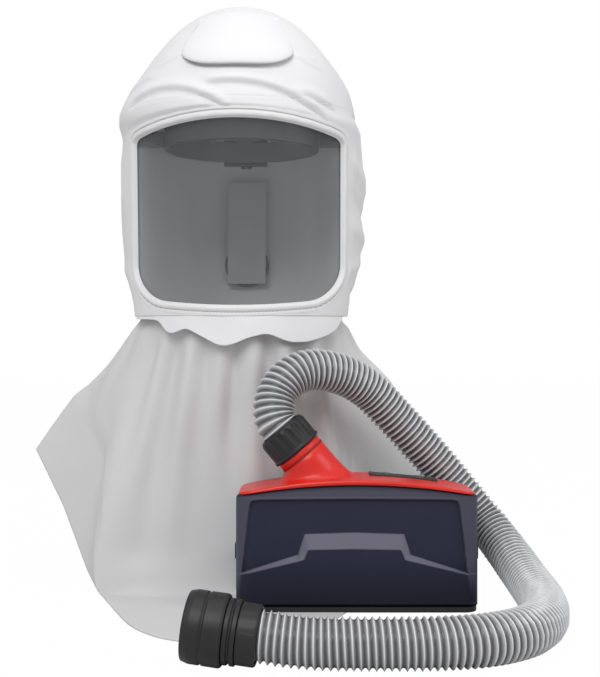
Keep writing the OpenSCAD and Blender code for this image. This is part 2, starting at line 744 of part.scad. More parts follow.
// Red top with the slanted outlet neck
spigot_r = outlet_bore_r + 2;
spigot_len = 4.7;
neck_foot_r = 31;
neck_foot_spread = 12;
neck_root = 22;
neck_lip = 0.8;
ring_z = outlet_len - 8;
ring_w = 1.6;
ring_deep = 2;
module outlet_frame() {
  x = blower_x + outlet_x;
  translate([x, mid_y, top_z(x)]) rotate([0, -neck_lean, 0]) children();
}

panel_x = 162;
panel_w = 66;
panel_d = 22;
panel_h = 3.6;
panel_sunk = 2.8;
panel_inset = 20;
module panel_frame() {
  x = blower_x + panel_x;
  lean = asin((x - mid_x) / arc_r(top_mid_z - top_end_z));
  translate([x, back_y - panel_inset, top_z(x)]) rotate([0, lean, 0]) children();
}

module top_shell() {
  color("orangered") difference() {
    union() {
      intersection() {
        plan();
        under_arc(top_end_z, top_mid_z);
      }
      hull() {
        outlet_frame() translate([0, 0, neck_root]) cylinder(r = outlet_r + neck_lip, h = 2, $fn = 40);
        for (side = [-1, 1])
          translate([blower_x + outlet_x - 4 + side * neck_foot_spread, mid_y, part_mid_z - 7.5])
            cylinder(r = neck_foot_r, h = 1.5, $fn = 40);
      }
      outlet_frame() rotate_extrude() polygon([
        [0, neck_root - 4], [outlet_r, neck_root - 4], [outlet_r, ring_z], [outlet_r - ring_deep, ring_z],
        [outlet_r - ring_deep, ring_z + ring_w], [outlet_r, ring_z + ring_w], [outlet_r, outlet_len],
        [spigot_r, outlet_len], [spigot_r, outlet_len + spigot_len], [0, outlet_len + spigot_len]
      ]);
    }
    under_arc(part_end_z, part_mid_z);
    outlet_frame() rotate(90) translate([0, 0, -2 * outlet_len])
      cylinder(r = outlet_bore_r, h = 4 * outlet_len);
    panel_frame() translate([0, 0, 5 - panel_sunk - fit_gap])
      cube([panel_w + 2 * fit_gap, panel_d + 2 * fit_gap, 10], center = true);
  }
}

module outlet_ring() {
  slack = 0.1;
  color("black") outlet_frame() translate([0, 0, ring_z + slack]) rotate_extrude()
    translate([outlet_r - ring_deep + slack, 0]) square([ring_deep + slack, ring_w - 2 * slack]);
}

collar_floor = 5;
collar_flange_h = 2.5;
collar_ribs = 20;
module outlet_collar() {
  color("black") outlet_frame() translate([0, 0, outlet_len + fit_gap]) difference() {
    union() {
      cylinder(r = collar_r, h = collar_h);
      cylinder(r = collar_r + 1, h = collar_flange_h);
    }
    translate([0, 0, -1]) cylinder(r = spigot_r + run_gap, h = collar_h);
    translate([0, 0, collar_floor]) cylinder(r = hose_r + fit_gap, h = collar_h);
    for (k = [0:collar_ribs - 1]) rotate(360 * k / collar_ribs)
      translate([collar_r + 0.6, 0, 2 * collar_flange_h])
        cylinder(r = 1.3, h = collar_h - 3 * collar_flange_h);
  }
}

// Control panel with two press buttons
button_r = 5;
button_h = 2.9;
button_spread = 32;
button_deep = 3;
module button_at(side) {
  panel_frame() translate([side * button_spread / 2, 0, panel_h - panel_sunk - button_deep]) children();
}
module control_panel() {
  color("black") difference() {
    panel_frame() translate([0, 0, panel_h / 2 - panel_sunk])
      cube([panel_w, panel_d, panel_h], center = true);
    for (side = [-1, 1]) button_at(side) cylinder(r = button_r + fit_gap, h = 2 * button_h);
  }
}
button_rest = 1.3;
module power_button() {
  color("dimgray") button_at(-1) translate([0, 0, button_rest]) cylinder(r = button_r, h = button_h);
}
module mode_button() {
  color("gray") button_at(1) translate([0, 0, button_rest]) cylinder(r = button_r, h = button_h);
}

// Filter stack behind the cover
module prefilter() {
  color("white") filter_space(fit_gap, casing_y, casing_y + prefilter_t);
}
filter_y = casing_y + prefilter_t + fit_gap;
pleats = 24;
pleat_deep = 4;
module filter() {
  color("ivory") difference() {
    filter_space(fit_gap, filter_y, filter_y + filter_t);
    for (k = [1:pleats])
      translate([lerp(blower_x + pocket_side, right_x - pocket_side, k / (pleats + 1)), 0, 0])
        box(-1, 1, filter_y - 1, filter_y + pleat_deep, base_top + 2 * pocket_low, ceiling_z - pocket_low);
  }
}
gasket_w = 6;
module filter_gasket() {
  y = filter_y + filter_t + fit_gap;
  color("black") difference() {
    filter_space(fit_gap, y, y + gasket_t);
    filter_space(fit_gap + gasket_w, y - 1, y + gasket_t + 1);
  }
}

// Fan and motor on one axis towards the front
hub_wall = 1.8;
module fan_frame() {
  translate([fan_x, fan_back_y - fit_gap, fan_z]) rotate([90, 0, 0]) children();
}
fan_depth = fan_back_y - fan_front_y - 2 * fit_gap;
spout_w = 14;
module fan_housing() {
  color("dimgray") fan_frame() difference() {
    union() {
      cylinder(r = fan_r, h = fan_depth);
      translate([-fan_r, 0, 0]) cube([spout_w, fan_r, fan_depth]);
    }
    translate([0, 0, fan_wall]) cylinder(r = fan_r - fan_wall, h = fan_depth - 2 * fan_wall);
    cylinder(r = fan_mouth_r, h = 2 * fan_depth + 1);
    translate([fan_wall - fan_r, 0, fan_wall])
      cube([spout_w - 2 * fan_wall, fan_r + 1, fan_depth - 2 * fan_wall]);
  }
}
motor_len = 13.5;
disc_t = 1.6;
impeller_lift = 3.4;
impeller_len = fan_depth - impeller_lift - fan_wall - 1;
module motor() {
  color("silver") fan_frame() difference() {
    union() {
      cylinder(r = motor_r, h = motor_len);
      cylinder(r = fan_mouth_r - fit_gap, h = fan_wall);
    }
    translate([0, 0, fan_wall]) cylinder(r = shaft_r + run_gap, h = motor_len);
  }
}
module motor_shaft() {
  color("lightgray") fan_frame() translate([0, 0, fan_wall + fit_gap])
    cylinder(r = shaft_r, h = impeller_lift + impeller_len - fan_wall - fit_gap);
}
module impeller() {
  cup_r = motor_r + 1;
  color("slategray") fan_frame() translate([0, 0, impeller_lift]) {
    difference() {
      union() {
        cylinder(r = impeller_r, h = disc_t);
        cylinder(r = cup_r + hub_wall, h = impeller_len);
      }
      translate([0, 0, -1]) cylinder(r = cup_r, h = impeller_len - disc_t + 1);
      cylinder(r = shaft_r + run_gap / 2, h = 2 * impeller_len);
    }
    for (k = [0:blades - 1]) rotate(360 * k / blades) translate([cup_r + hub_wall - 0.3, -0.5, disc_t - 0.2])
      cube([impeller_r - cup_r - hub_wall - 0.4, 1, impeller_len - disc_t - 2]);
  }
}

module battery() {
  color("darkslategray") difference() {
    box(blower_x, blower_x + battery_len, fan_front_y + fit_gap, fan_back_y - fit_gap,
      bay_z + fit_gap, bay_z + fit_gap + battery_h);
    box(blower_x - 1, blower_x + 2, fan_front_y + 6, fan_back_y - 6, bay_z + 6, bay_z + 12);
  }
}

board_w = 52;
board_h = 46;
board_t = 1.6;
module circuit_board() {
  x = right_x - wall - fit_gap - board_w;
  z = bay_top + wall + fit_gap;
  color("green") {
    box(x, x + board_w, fan_front_y + fit_gap, fan_front_y + fit_gap + board_t, z, z + board_h);
    for (k = [0:2])
      box(x + 6 + 15 * k, x + 14 + 15 * k, fan_front_y + fit_gap + board_t, fan_front_y + 6, z + 8, z + 20);
  }
}

// Hose: its centreline runs through these points, from the collar to the free end
route = [
  [59.1, -166, 156.2], [52.6, -166, 164], [46.1, -166, 171.7], [41.2, -165.2, 179.6], [39.4, -162.3, 191.5],
  [42.5, -157, 206], [52, -151, 219], [66, -144, 227], [84, -136, 228.5], [103, -127, 225],
  [121, -119, 217], [138, -112, 205], [160, -106, 182], [184, -102, 156], [207, -100, 130],
  [231, -102, 101], [254, -111, 72], [271, -140, 48], [281, -185, 31], [284, -235, 23],
  [279, -275, 21.5], [267, -314, 21.5], [245, -346, 21.5], [215, -366, 21.5], [183, -375, 21.5],
  [148, -378, 21.5], [112, -378, 21.5], [82, -377, 21.7], [57, -375, 23.2], [33, -372.5, 26],
  [25, -371.66, 26.99], [17.3, -370.85, 27.94]
];
route_steps = 8;
function bend(a, b, c, d, t) =
  0.5 * (2 * b + (c - a) * t + (2 * a - 5 * b + 4 * c - d) * t * t + (3 * b - 3 * c + d - a) * t * t * t);
route_end = len(route) - 1;
smooth_route = [
  for (i = [0:route_end - 1], k = [0:route_steps - 1])
    bend(route[max(0, i - 1)], route[i], route[i + 1], route[min(route_end, i + 2)], k / route_steps),
  route[route_end]
];
run = [
  for (i = 0, s = 0; i < len(smooth_route);
    s = s + (i + 1 < len(smooth_route) ? norm(smooth_route[i + 1] - smooth_route[i]) : 0), i = i + 1) s
];
hose_len = run[len(run) - 1];
function route_at(s) =
  [for (axis = [0:2]) lookup(s, [for (i = [0:len(run) - 1]) [run[i], smooth_route[i][axis]]])];
hose_sides = 8;
bore_step = 4;
module hose() {
  rings = 2 * hose_ribs + 1;
  at = [for (i = [0:rings - 1]) route_at(hose_len * i / (rings - 1))];
  along = [for (i = [0:rings - 1]) unit(at[min(rings - 1, i + 1)] - at[max(0, i - 1)])];
  across = [for (i = 0, v = [0, 1, 0]; i < rings;
    i = i + 1, v = i < rings ? unit(v - (v * along[i]) * along[i]) : v) v];
  function ring(i, r) = [for (k = [0:hose_sides - 1])
    let (a = 360 * (k + 0.5) / hose_sides)
    at[i] + r * (cos(a) * across[i] + sin(a) * cross(along[i], across[i]))];
  outer = [for (i = [0:rings - 1]) ring(i, i % 2 == 0 ? hose_r - rib_depth : hose_r)];
  bore = [for (i = [0:bore_step:rings - 1]) ring(i, hose_bore_r)];
  o = rings * hose_sides;
  e = o - hose_sides;
  f = o + (len(bore) - 1) * hose_sides;
  function tube(n, from) = [for (i = [0:n - 2], j = [0:hose_sides - 1])
    let (a = from + i * hose_sides + j, b = from + i * hose_sides + (j + 1) % hose_sides)
    each [[a, b, b + hose_sides], [a, b + hose_sides, a + hose_sides]]];
  ends = [for (j = [0:hose_sides - 1])
    let (k = (j + 1) % hose_sides)
    each [[k, j, o + j], [k, o + j, o + k], [e + j, e + k, f + k], [e + j, f + k, f + j]]];
  color("darkgray") polyhedron(
    [for (r = outer) each r, for (r = bore) each r],
    concat(tube(rings, 0), [for (t = tube(len(bore), o)) [t[0], t[2], t[1]]], ends)
  );
}

// Connector on the hose's free end
connector_at = [33, -372.5, 26];
connector_turn = 174;
connector_rise = 7;
flange_len = 10;
flange_r = 26;
mouth_r = 23.5;
mouth_over = 2;
module connector_frame() {
  translate(connector_at) rotate([0, 0, connector_turn]) rotate([0, 90 - connector_rise, 0]) children();
}

cuff_flutes = 22;
module hose_cuff() {
  color("black") connector_frame() difference() {
    cylinder(r = cuff_r, h = cuff_len);
    translate([0, 0, -1]) cylinder(r = hose_r + fit_gap, h = cuff_len + 2);
    for (k = [0:cuff_flutes - 1]) rotate(360 * k / cuff_flutes) translate([cuff_r + 0.5, 0, 2])
      cylinder(r = 1.3, h = cuff_len - 4);
  }
}
body_z = cuff_len + fit_gap;
module connector_body() {
  color("black") connector_frame() translate([0, 0, body_z]) difference() {
    union() {
      cylinder(r = flange_r, h = flange_len);
      cylinder(r = mouth_r, h = flange_len + 2 * fit_gap + ring_len - mouth_over);
    }
    translate([0, 0, -1]) cylinder(r = connector_bore_r, h = 3 * ring_len);
  }
}
tab_w = 13;
tab_h = 17;
tab_cut = 1.4;
module connector_ring() {
  color("black") connector_frame() translate([0, 0, body_z + flange_len + fit_gap]) difference() {
    cylinder(r = ring_r, h = ring_len);
    translate([0, 0, -1]) cylinder(r = mouth_r + run_gap, h = ring_len + 2);
    rotate(100) for (side = [-1, 1]) translate([mouth_r, side * tab_w / 2 - tab_cut / 2, ring_len - tab_h])
      cube([2 * (ring_r - mouth_r), tab_cut, tab_h + 1]);
  }
}
module connector_seal() {
  color("dimgray") connector_frame()
    translate([0, 0, body_z + flange_len + 3 * fit_gap + ring_len - mouth_over]) rotate_extrude()
      translate([connector_bore_r + fit_gap, 0])
        square([mouth_r - connector_bore_r - 2 * fit_gap, mouth_over - fit_gap]);
}

hood_crown();
hood_wrap();
face_panel();
visor();
crown_pad();
neck_frill();
neck_elastic();
cape();
headband();
crown_straps();
sweatband();
side_hangers();
ratchet_housing();
ratchet_knob();
inlet_spigot();
inlet_nut();
air_duct();
base_plate();
rear_casing();
top_shell();
filter_cover();
hinge_pin();
latch_left();
latch_right();
control_panel();
power_button();
mode_button();
belt_loops();
prefilter();
filter();
filter_gasket();
fan_housing();
impeller();
motor();
motor_shaft();
battery();
circuit_board();
casing_screws();
outlet_ring();
outlet_collar();
hose();
hose_cuff();
connector_body();
connector_ring();
connector_seal();
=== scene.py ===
import math

import bmesh
import bpy
import numpy as np
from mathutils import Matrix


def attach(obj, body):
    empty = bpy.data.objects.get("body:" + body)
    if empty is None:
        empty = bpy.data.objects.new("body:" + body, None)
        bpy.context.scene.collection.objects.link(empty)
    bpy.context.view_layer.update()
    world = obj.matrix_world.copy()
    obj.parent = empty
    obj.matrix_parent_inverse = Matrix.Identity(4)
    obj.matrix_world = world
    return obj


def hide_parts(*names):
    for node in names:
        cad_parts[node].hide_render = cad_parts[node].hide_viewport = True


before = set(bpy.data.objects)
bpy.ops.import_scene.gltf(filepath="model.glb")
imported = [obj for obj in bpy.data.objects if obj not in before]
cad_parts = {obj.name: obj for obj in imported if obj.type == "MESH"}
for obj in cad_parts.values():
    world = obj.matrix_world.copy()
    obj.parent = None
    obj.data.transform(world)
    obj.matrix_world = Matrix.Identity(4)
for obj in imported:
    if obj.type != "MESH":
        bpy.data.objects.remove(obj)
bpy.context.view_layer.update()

# Studio: a level camera in front of the visor, and a pale floor that runs out of view. A large soft
# lamp stands high in front, a little to the left, a weaker one at the right, and one hangs above.
# The image is 677 pixels high and the lens gives 1116 pixels to the unit slope.
MM = 0.001
IMAGE_H, FOCAL_PX, SENSOR = 677, 1116, 36
CAMERA_AT = (0.065, -1.25, 0.26)

scene = bpy.context.scene
scene.view_settings.view_transform = "Standard"
camera = bpy.data.objects.new("camera", bpy.data.cameras.new("camera"))
camera.data.sensor_width = SENSOR
camera.data.lens = SENSOR * FOCAL_PX / IMAGE_H
camera.location = CAMERA_AT
camera.rotation_euler = (math.pi / 2, 0, 0)
scene.collection.objects.link(camera)
scene.camera = camera


class Value:
    """A wrapped node socket: arithmetic on it adds Math nodes."""

    def __init__(self, finish, socket):
        self.finish = finish
        self.socket = socket

    def math(self, operation, a, b=0.0):
        return self.finish.node("Math", {"operation": operation}, {0: a, 1: b})

    def __add__(self, other):
        return self.math("ADD", self, other)

    __radd__ = __add__

    def __mul__(self, other):
        return self.math("MULTIPLY", self, other)

    __rmul__ = __mul__

    def __sub__(self, other):
        return self.math("SUBTRACT", self, other)

    def __rsub__(self, other):
        return self.math("SUBTRACT", other, self)

    def __pow__(self, other):
        return self.math("POWER", self, other)

    def __lt__(self, other):
        return self.math("LESS_THAN", self, other)

    def sin(self):
        return self.math("SINE", self)

    def abs(self):
        return self.math("ABSOLUTE", self)

    def fraction(self):
        return self.math("FRACT", self)


class Finish:
    """A material with one Principled shader, whose other nodes come from expressions."""

    def __init__(self, name, **fixed):
        self.material = bpy.data.materials.new(name)
        self.material.use_nodes = True
        self.tree = self.material.node_tree
        self.shader = self.tree.nodes["Principled BSDF"]
        self.plain = Value(self, self.shader.outputs[0])
        for key, value in fixed.items():
            self.put(key.replace("_", " ").title().replace("Ior", "IOR"), value)

    def feed(self, socket, value):
        if isinstance(value, Value):
            self.tree.links.new(value.socket, socket)
        else:
            socket.default_value = (*value, 1.0) if socket.type == "RGBA" else value

    def put(self, name, value):
        self.feed(self.shader.inputs[name], value)

    def node(self, kind, settings=None, inputs=None, out=0):
        """Adds one node: its settings are set first, then its sockets are fed by name or number."""
        made = self.tree.nodes.new("ShaderNode" + kind)
        for key, value in (settings or {}).items():
            setattr(made, key, value)
        for key, value in (inputs or {}).items():
            self.feed(made.inputs[key], value)
        return Value(self, made.outputs[out])

    def uv(self):
        """The two lengths in metres along the piece's own grid."""
        place = self.node("UVMap")
        return [self.node("SeparateXYZ", None, {0: place}, out=axis) for axis in range(2)]

    def kept(self, name):
        """The number that mark() keeps on the piece's points under a name."""
        return self.node("Attribute", {"attribute_name": name}, out="Fac")

    def noise(self, scale, detail=2):
        """Cloudy noise over Object coordinates, with so many clouds to the metre."""
        place = self.node("TexCoord", out="Object")
        return self.node("TexNoise", None, {"Vector": place, "Scale": scale, "Detail": detail})

    def blend(self, amount, a, b):
        """Colour a where amount is 0, colour b where it is 1."""
        return self.node("MixRGB", None, {0: amount, 1: a, 2: b})

    def bump(self, height, strength, distance):
        inputs = {"Strength": strength, "Distance": distance, "Height": height}
        self.put("Normal", self.node("Bump", None, inputs))

    def show(self, amount, first, second):
        """Shows one shader where amount is 0 and another where it is 1."""
        both = self.node("MixShader", None, {0: amount, 1: first, 2: second})
        self.feed(self.tree.nodes["Material Output"].inputs["Surface"], both)


def surface(name, points, close=(False, False), flip=False, keep=None):
    """Quads over a grid of points of shape (rows, columns, 3); close joins the last row or column
    to the first, and keep says which quads stay. The UV map runs over the grid in metres, measured
    along its middle lines."""
    rows, cols = points.shape[:2]
    i = np.arange(rows if close[0] else rows - 1)[:, None]
    j = np.arange(cols if close[1] else cols - 1)[None, :]
    ni, nj = (i + 1) % rows, (j + 1) % cols
    stay = np.ones((i.size, j.size), bool) if keep is None else keep

    def corners(*values):
        around = np.stack([np.broadcast_to(c, stay.shape) for c in values], -1)[stay]
        return around[:, ::-1] if flip else around

    quads = corners(i * cols + j, ni * cols + j, ni * cols + nj, i * cols + nj)
    mesh = bpy.data.meshes.new(name)
    mesh.vertices.add(rows * cols)
    mesh.vertices.foreach_set("co", points.reshape(-1))
    mesh.loops.add(quads.size)
    mesh.loops.foreach_set("vertex_index", quads.reshape(-1).astype(np.int32))
    mesh.polygons.add(len(quads))
    mesh.polygons.foreach_set("loop_start", np.arange(0, quads.size, 4, dtype=np.int32))
    mesh.polygons.foreach_set("use_smooth", np.ones(len(quads), dtype=bool))
    mesh.update(calc_edges=True)
    step_v, step_u = (np.linalg.norm(np.diff(middle, axis=0), axis=-1).sum() / max(1, len(middle) - 1)
                      for middle in (points[:, cols // 2], points[rows // 2]))
    layer = mesh.uv_layers.new(name="UVMap")
    places = np.stack([corners(j, j, j + 1, j + 1) * step_u, corners(i, i + 1, i + 1, i) * step_v], -1)
    layer.data.foreach_set("uv", places.reshape(-1))
    made = bpy.data.objects.new(name, mesh)
    scene.collection.objects.link(made)
    return made


def dress(piece, finish, body="respirator", instead=()):
    """Gives a new piece its finish, the body that it rides on and the nodes that it stands for."""
    piece.data.materials.clear()
    piece.data.materials.append(finish.material)
    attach(piece, body)
    if instead:
        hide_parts(*instead)
    return piece


FLOOR_ENDS = (-6.0, 6.0)
floor = surface("floor", np.array([[[x, y, 0.0] for x in FLOOR_ENDS] for y in FLOOR_ENDS]), flip=True)
floor_finish = Finish("pale floor", roughness=0.9, specular_ior_level=0.1)
floor_finish.put("Base Color", (0.66, 0.66, 0.66))
seen = floor_finish.node("Math", {"operation": "MAXIMUM"}, {
    0: floor_finish.node("LightPath", out="Is Camera Ray"),
    1: floor_finish.node("LightPath", out="Is Transmission Ray")})
glow = floor_finish.node("Emission", None, {"Color": (1.0, 1.0, 1.0), "Strength": 1.0})
FLOOR_GLOW = 0.985
floor_finish.show(FLOOR_GLOW * seen, floor_finish.plain, glow)
floor.data.materials.append(floor_finish.material)

world = bpy.data.worlds.new("studio")
world.use_nodes = True
scene.world = world
sky = world.node_tree.nodes["Background"]
sky_path = world.node_tree.nodes.new("ShaderNodeLightPath")
sky_level = world.node_tree.nodes.new("ShaderNodeMix")
world.node_tree.links.new(sky_path.outputs["Is Camera Ray"], sky_level.inputs[0])
SKY_LIGHT = 0.56
sky_level.inputs[2].default_value = SKY_LIGHT
sky_level.inputs[3].default_value = 1.0
world.node_tree.links.new(sky_level.outputs[0], sky.inputs["Strength"])
sky.inputs["Color"].default_value = (1, 1, 1, 1)


def lamp(name, at, aim, size, power):
    """A square area lamp that points from one place to another."""
    made = bpy.data.objects.new(name, bpy.data.lights.new(name, "AREA"))
    made.data.size = size
    made.data.energy = power
    made.location = at
    x, y, z = (a - b for a, b in zip(aim, at))
    made.rotation_euler = (math.atan2(math.hypot(x, y), -z), 0, math.atan2(-x, y))
    scene.collection.objects.link(made)


lamp("key lamp", (-0.5, -1.8, 1.9), (0, -0.05, 0.3), 1.4, 30)
lamp("side lamp", (1.7, -1.0, 1.1), (0, -0.05, 0.3), 1.0, 9)
lamp("top lamp", (0.1, -0.2, 2.2), (0, -0.1, 0.3), 1.2, 6)

# Hose: one length of grey corrugated plastic tube, 42 mm over its ribs, pushed into the blower's
# collar and into the cuff of its connector. It loops over, runs down behind the blower's end
# and comes back along the floor in front.
ROUTE = np.array([
    (59.1, -166, 156.2), (52.6, -166, 164), (46.1, -166, 171.7), (41.2, -165.2, 179.6), (39.4, -162.3, 191.5),
    (42.5, -157, 206), (52, -151, 219), (66, -144, 227), (84, -136, 228.5), (103, -127, 225),
    (121, -119, 217), (138, -112, 205), (160, -106, 182), (184, -102, 156), (207, -100, 130),
    (231, -102, 101), (254, -111, 72), (271, -140, 48), (281, -185, 31), (284, -235, 23),
    (279, -275, 21.5), (267, -314, 21.5), (245, -346, 21.5), (215, -366, 21.5), (183, -375, 21.5),
    (148, -378, 21.5), (112, -378, 21.5), (82, -377, 21.7), (57, -375, 23.2), (33, -372.5, 26),
    (25, -371.66, 26.99), (17.3, -370.85, 27.94)]) * MM
HOSE_R, RIB_DEPTH = 21.2 * MM, 3.0 * MM
RIBS, RIB_SHARPNESS = 145, 1.9


def unit(v):
    """Vectors over their lengths."""
    return v / np.linalg.norm(v, axis=-1, keepdims=True)


def ease(t):
    """Rises smoothly from 0 to 1 while t does, and stays flat outside."""
    c = np.clip(t, 0, 1)
    return c * c * (3 - 2 * c)


def run_through(points, count):
    """Even steps along the Catmull-Rom curve through the points, and the curve's length."""
    ends = np.concatenate([points[:1], points, points[-1:]])
    a, b, c, d = (ends[k:len(ends) - 3 + k, None] for k in range(4))
    t = np.linspace(0, 1, 40, endpoint=False)[None, :, None]
    curve = 2 * b + (c - a) * t + (2 * a - 5 * b + 4 * c - d) * t**2 + (3 * b - 3 * c + d - a) * t**3
    curve = np.concatenate([curve.reshape(-1, 3) / 2, points[-1:]])
    run = np.concatenate([[0], np.cumsum(np.linalg.norm(np.diff(curve, axis=0), axis=1))])
    even = np.linspace(0, run[-1], count)
    return np.stack([np.interp(even, run, curve[:, axis]) for axis in range(3)], 1), run[-1]


HOSE_RINGS = 12 * RIBS + 1
HOSE_SIDES = 36
hose_path, hose_length = run_through(ROUTE, HOSE_RINGS)
hose_run = unit(np.gradient(hose_path, axis=0))
hose_side = unit(np.cross(hose_run, np.array([0, 1, 1.0])))
hose_up = np.cross(hose_run, hose_side)
hose_turn = (np.arange(HOSE_SIDES) / HOSE_SIDES * 2 * np.pi)[:, None]
rib_phase = np.mod(np.linspace(0, RIBS, HOSE_RINGS)[:, None] - hose_turn.T / (2 * np.pi), 1)
rib = (1 - np.abs(2 * rib_phase - 1)) ** RIB_SHARPNESS
hose_spoke = np.cos(hose_turn) * hose_side[:, None] + np.sin(hose_turn) * hose_up[:, None]
hose_points = hose_path[:, None] + (HOSE_R - RIB_DEPTH * (1 - rib))[..., None] * hose_spoke
hose = surface("hose_tube", hose_points, close=(False, True))


def mark(piece, name, values):
    """Keeps one number for each point of a piece's grid, for its finish to read."""
    layer = piece.data.attributes.new(name, "FLOAT", "POINT")
    layer.data.foreach_set("value", np.ascontiguousarray(values, dtype=np.float32).reshape(-1))


mark(hose, "rib", rib)

hose_finish = Finish("grey hose plastic", specular_ior_level=0.6)
# The valleys between the ribs are painted near black: painted shade in the grooves.
painted_valley_shade = (1 - hose_finish.kept("rib")) ** 0.85
hose_stain = hose_finish.noise(60, 3)
hose_colour = hose_finish.blend(hose_stain, (0.74, 0.745, 0.765), (0.82, 0.825, 0.845))
hose_finish.put("Base Color", hose_finish.blend(painted_valley_shade * 0.96, hose_colour, (0.035, 0.035, 0.038)))
hose_finish.put("Roughness", 0.2 + 0.1 * hose_stain)
hose_finish.bump(hose_finish.noise(900), 0.06, 0.0004)
dress(hose, hose_finish, instead=("hose",))

# Hose connector: a fluted cuff on the hose's end, a flanged tube, and a large locking ring
# that turns on the tube. All are moulded in black plastic with a fine grain.
CONNECTOR_AT = np.array([33, -372.5, 26]) * MM
CONNECTOR_TURN, CONNECTOR_RISE = math.radians(174), math.radians(7)
CONNECTOR_AXIS = np.array([math.cos(CONNECTOR_RISE) * math.cos(CONNECTOR_TURN),
                           math.cos(CONNECTOR_RISE) * math.sin(CONNECTOR_TURN), math.sin(CONNECTOR_RISE)])


def rounded(corners, radius, steps=4):
    """A closed outline with each corner cut to a small curve, which leaves it a radius away."""
    at = np.array(corners, float)

    def towards(other):
        away = other - at
        size = np.linalg.norm(away, axis=1, keepdims=True)
        return at + away / size * np.minimum(radius, 0.45 * size)

    a, b = towards(np.roll(at, 1, 0)), towards(np.roll(at, -1, 0))
    t = np.linspace(0, 1, steps)[None, :, None]
    return ((1 - t) ** 2 * a[:, None] + 2 * t * (1 - t) * at[:, None] + t**2 * b[:, None]).reshape(-1, 2)


def lathe(name, outline, at, axis, sides=96, cut=None):
    """A closed outline of (radius, run) pairs in millimetres, turned about an axis through a point.
    cut takes radius, run and angle and gives how much is carved off the radius."""
    angle = np.arange(sides) / sides * 2 * np.pi
    radius, run = outline[:, :1], outline[:, 1:]
    radius = np.broadcast_to(radius, (len(outline), sides))
    run = np.broadcast_to(run, (len(outline), sides))
    if cut:
        radius = radius - cut(radius, run, angle[None, :])
    e3 = unit(np.array(axis, float))
    e1 = unit(np.cross(e3, np.array([0.3, 0.9, 0.2])))
    e2 = np.cross(e3, e1)
    spoke = np.cos(angle)[:, None] * e1 + np.sin(angle)[:, None] * e2
    points = at + (radius[..., None] * spoke[None] + run[..., None] * e3) * MM
    closed = outline - outline.mean(0)
    area = np.sum(closed[:, 0] * np.roll(closed[:, 1], -1) - closed[:, 1] * np.roll(closed[:, 0], -1))
    return surface(name, points, close=(True, True), flip=area > 0)


def flutes(count, depth, low, high, outer):
    """Rounded grooves along the run between two places, on the outermost wall only."""
    def cut(radius, run, angle):
        window = ease((run - low) / 1.2) * (1 - ease((run - high) / 1.2)) * (radius > outer - 1.6)
        return depth * window * ease(np.abs(np.sin(count * angle / 2)) * 2.2 - 1.1)
    return cut


def moulded(name, dark, pale, rough, grain, depth=0.12, blotches=24, uneven=0.15, gloss=0.45, **fixed):
    """Moulded plastic, and rubber, foam or steel alike: slow blotches between two colours, and a
    fine grain."""
    made = Finish(name, specular_ior_level=gloss, **fixed)
    wear = made.noise(blotches, 4)
    made.colour = made.blend(wear, dark, pale)
    made.put("Base Color", made.colour)
    made.put("Roughness", rough + uneven * wear)
    made.bump(made.noise(grain), depth, 0.0003)
    return made


black_finish = moulded("black moulded plastic", (0.008, 0.008, 0.009), (0.018, 0.018, 0.020), 0.36, 1400,
                       blotches=25, uneven=0.18, gloss=0.4)

CUFF_R, CUFF_LEN = 24.5, 16
cuff = lathe("cuff", rounded(
    [(21.5, 0), (CUFF_R - 1, 0), (CUFF_R, 1.5), (CUFF_R, CUFF_LEN), (21.5, CUFF_LEN)], 0.9),
    CONNECTOR_AT, CONNECTOR_AXIS, 264, flutes(22, 1.1, 2, CUFF_LEN - 2, CUFF_R))
dress(cuff, black_finish, instead=("hose_cuff",))

FLANGE_R, FLANGE_LEN, MOUTH_R, BORE_R = 26, 10, 23.5, 20
BODY_AT = CUFF_LEN + 0.3
MOUTH_END = BODY_AT + 40.6
tube_body = lathe("connector_tube", rounded(
    [(BORE_R, BODY_AT), (FLANGE_R, BODY_AT), (FLANGE_R, BODY_AT + 3.5), (FLANGE_R - 1.4, BODY_AT + 4.2),
     (FLANGE_R - 1.4, BODY_AT + 5.6), (FLANGE_R, BODY_AT + 6.3), (FLANGE_R, BODY_AT + FLANGE_LEN),
     (MOUTH_R, BODY_AT + FLANGE_LEN), (MOUTH_R, MOUTH_END), (BORE_R, MOUTH_END)], 0.6),
    CONNECTOR_AT, CONNECTOR_AXIS)
dress(tube_body, black_finish, instead=("connector_body",))

RING_R, RING_LEN = 29, 32
RING_AT = BODY_AT + FLANGE_LEN + 0.3
RING_END = RING_AT + RING_LEN


def ring_grip(radius, run, angle):
    """Shallow grip bands round the ring and the slits of one sprung tab at its mouth."""
    outside = radius > RING_R - 1.6
    bands = 0.5 * outside * ease(np.abs(np.sin(36 * angle / 2)) * 2 - 0.9) * (
        ease((run - RING_AT - 4) / 1.5) * (1 - ease((run - RING_AT - 13) / 1.5)))
    tab = np.abs(np.abs(np.mod(angle - 4.2 + np.pi, 2 * np.pi) - np.pi) - 0.24)
    slit = 2.2 * outside * (1 - ease((tab - 0.012) / 0.02)) * ease((run - RING_END + 17) / 1.0)
    return bands + slit


lock_ring = lathe("lock_ring_turned", rounded(
    [(MOUTH_R + 0.1, RING_AT), (RING_R - 1.2, RING_AT), (RING_R, RING_AT + 1.6), (RING_R, RING_AT + 15),
     (RING_R - 0.9, RING_AT + 15.8), (RING_R - 0.9, RING_AT + 17), (RING_R, RING_AT + 17.8),
     (RING_R, RING_END - 6), (RING_R - 1.6, RING_END), (MOUTH_R + 0.1, RING_END)], 0.7, 5),
    CONNECTOR_AT, CONNECTOR_AXIS, 360, ring_grip)
dress(lock_ring, black_finish, "lock_ring", ("connector_ring",))

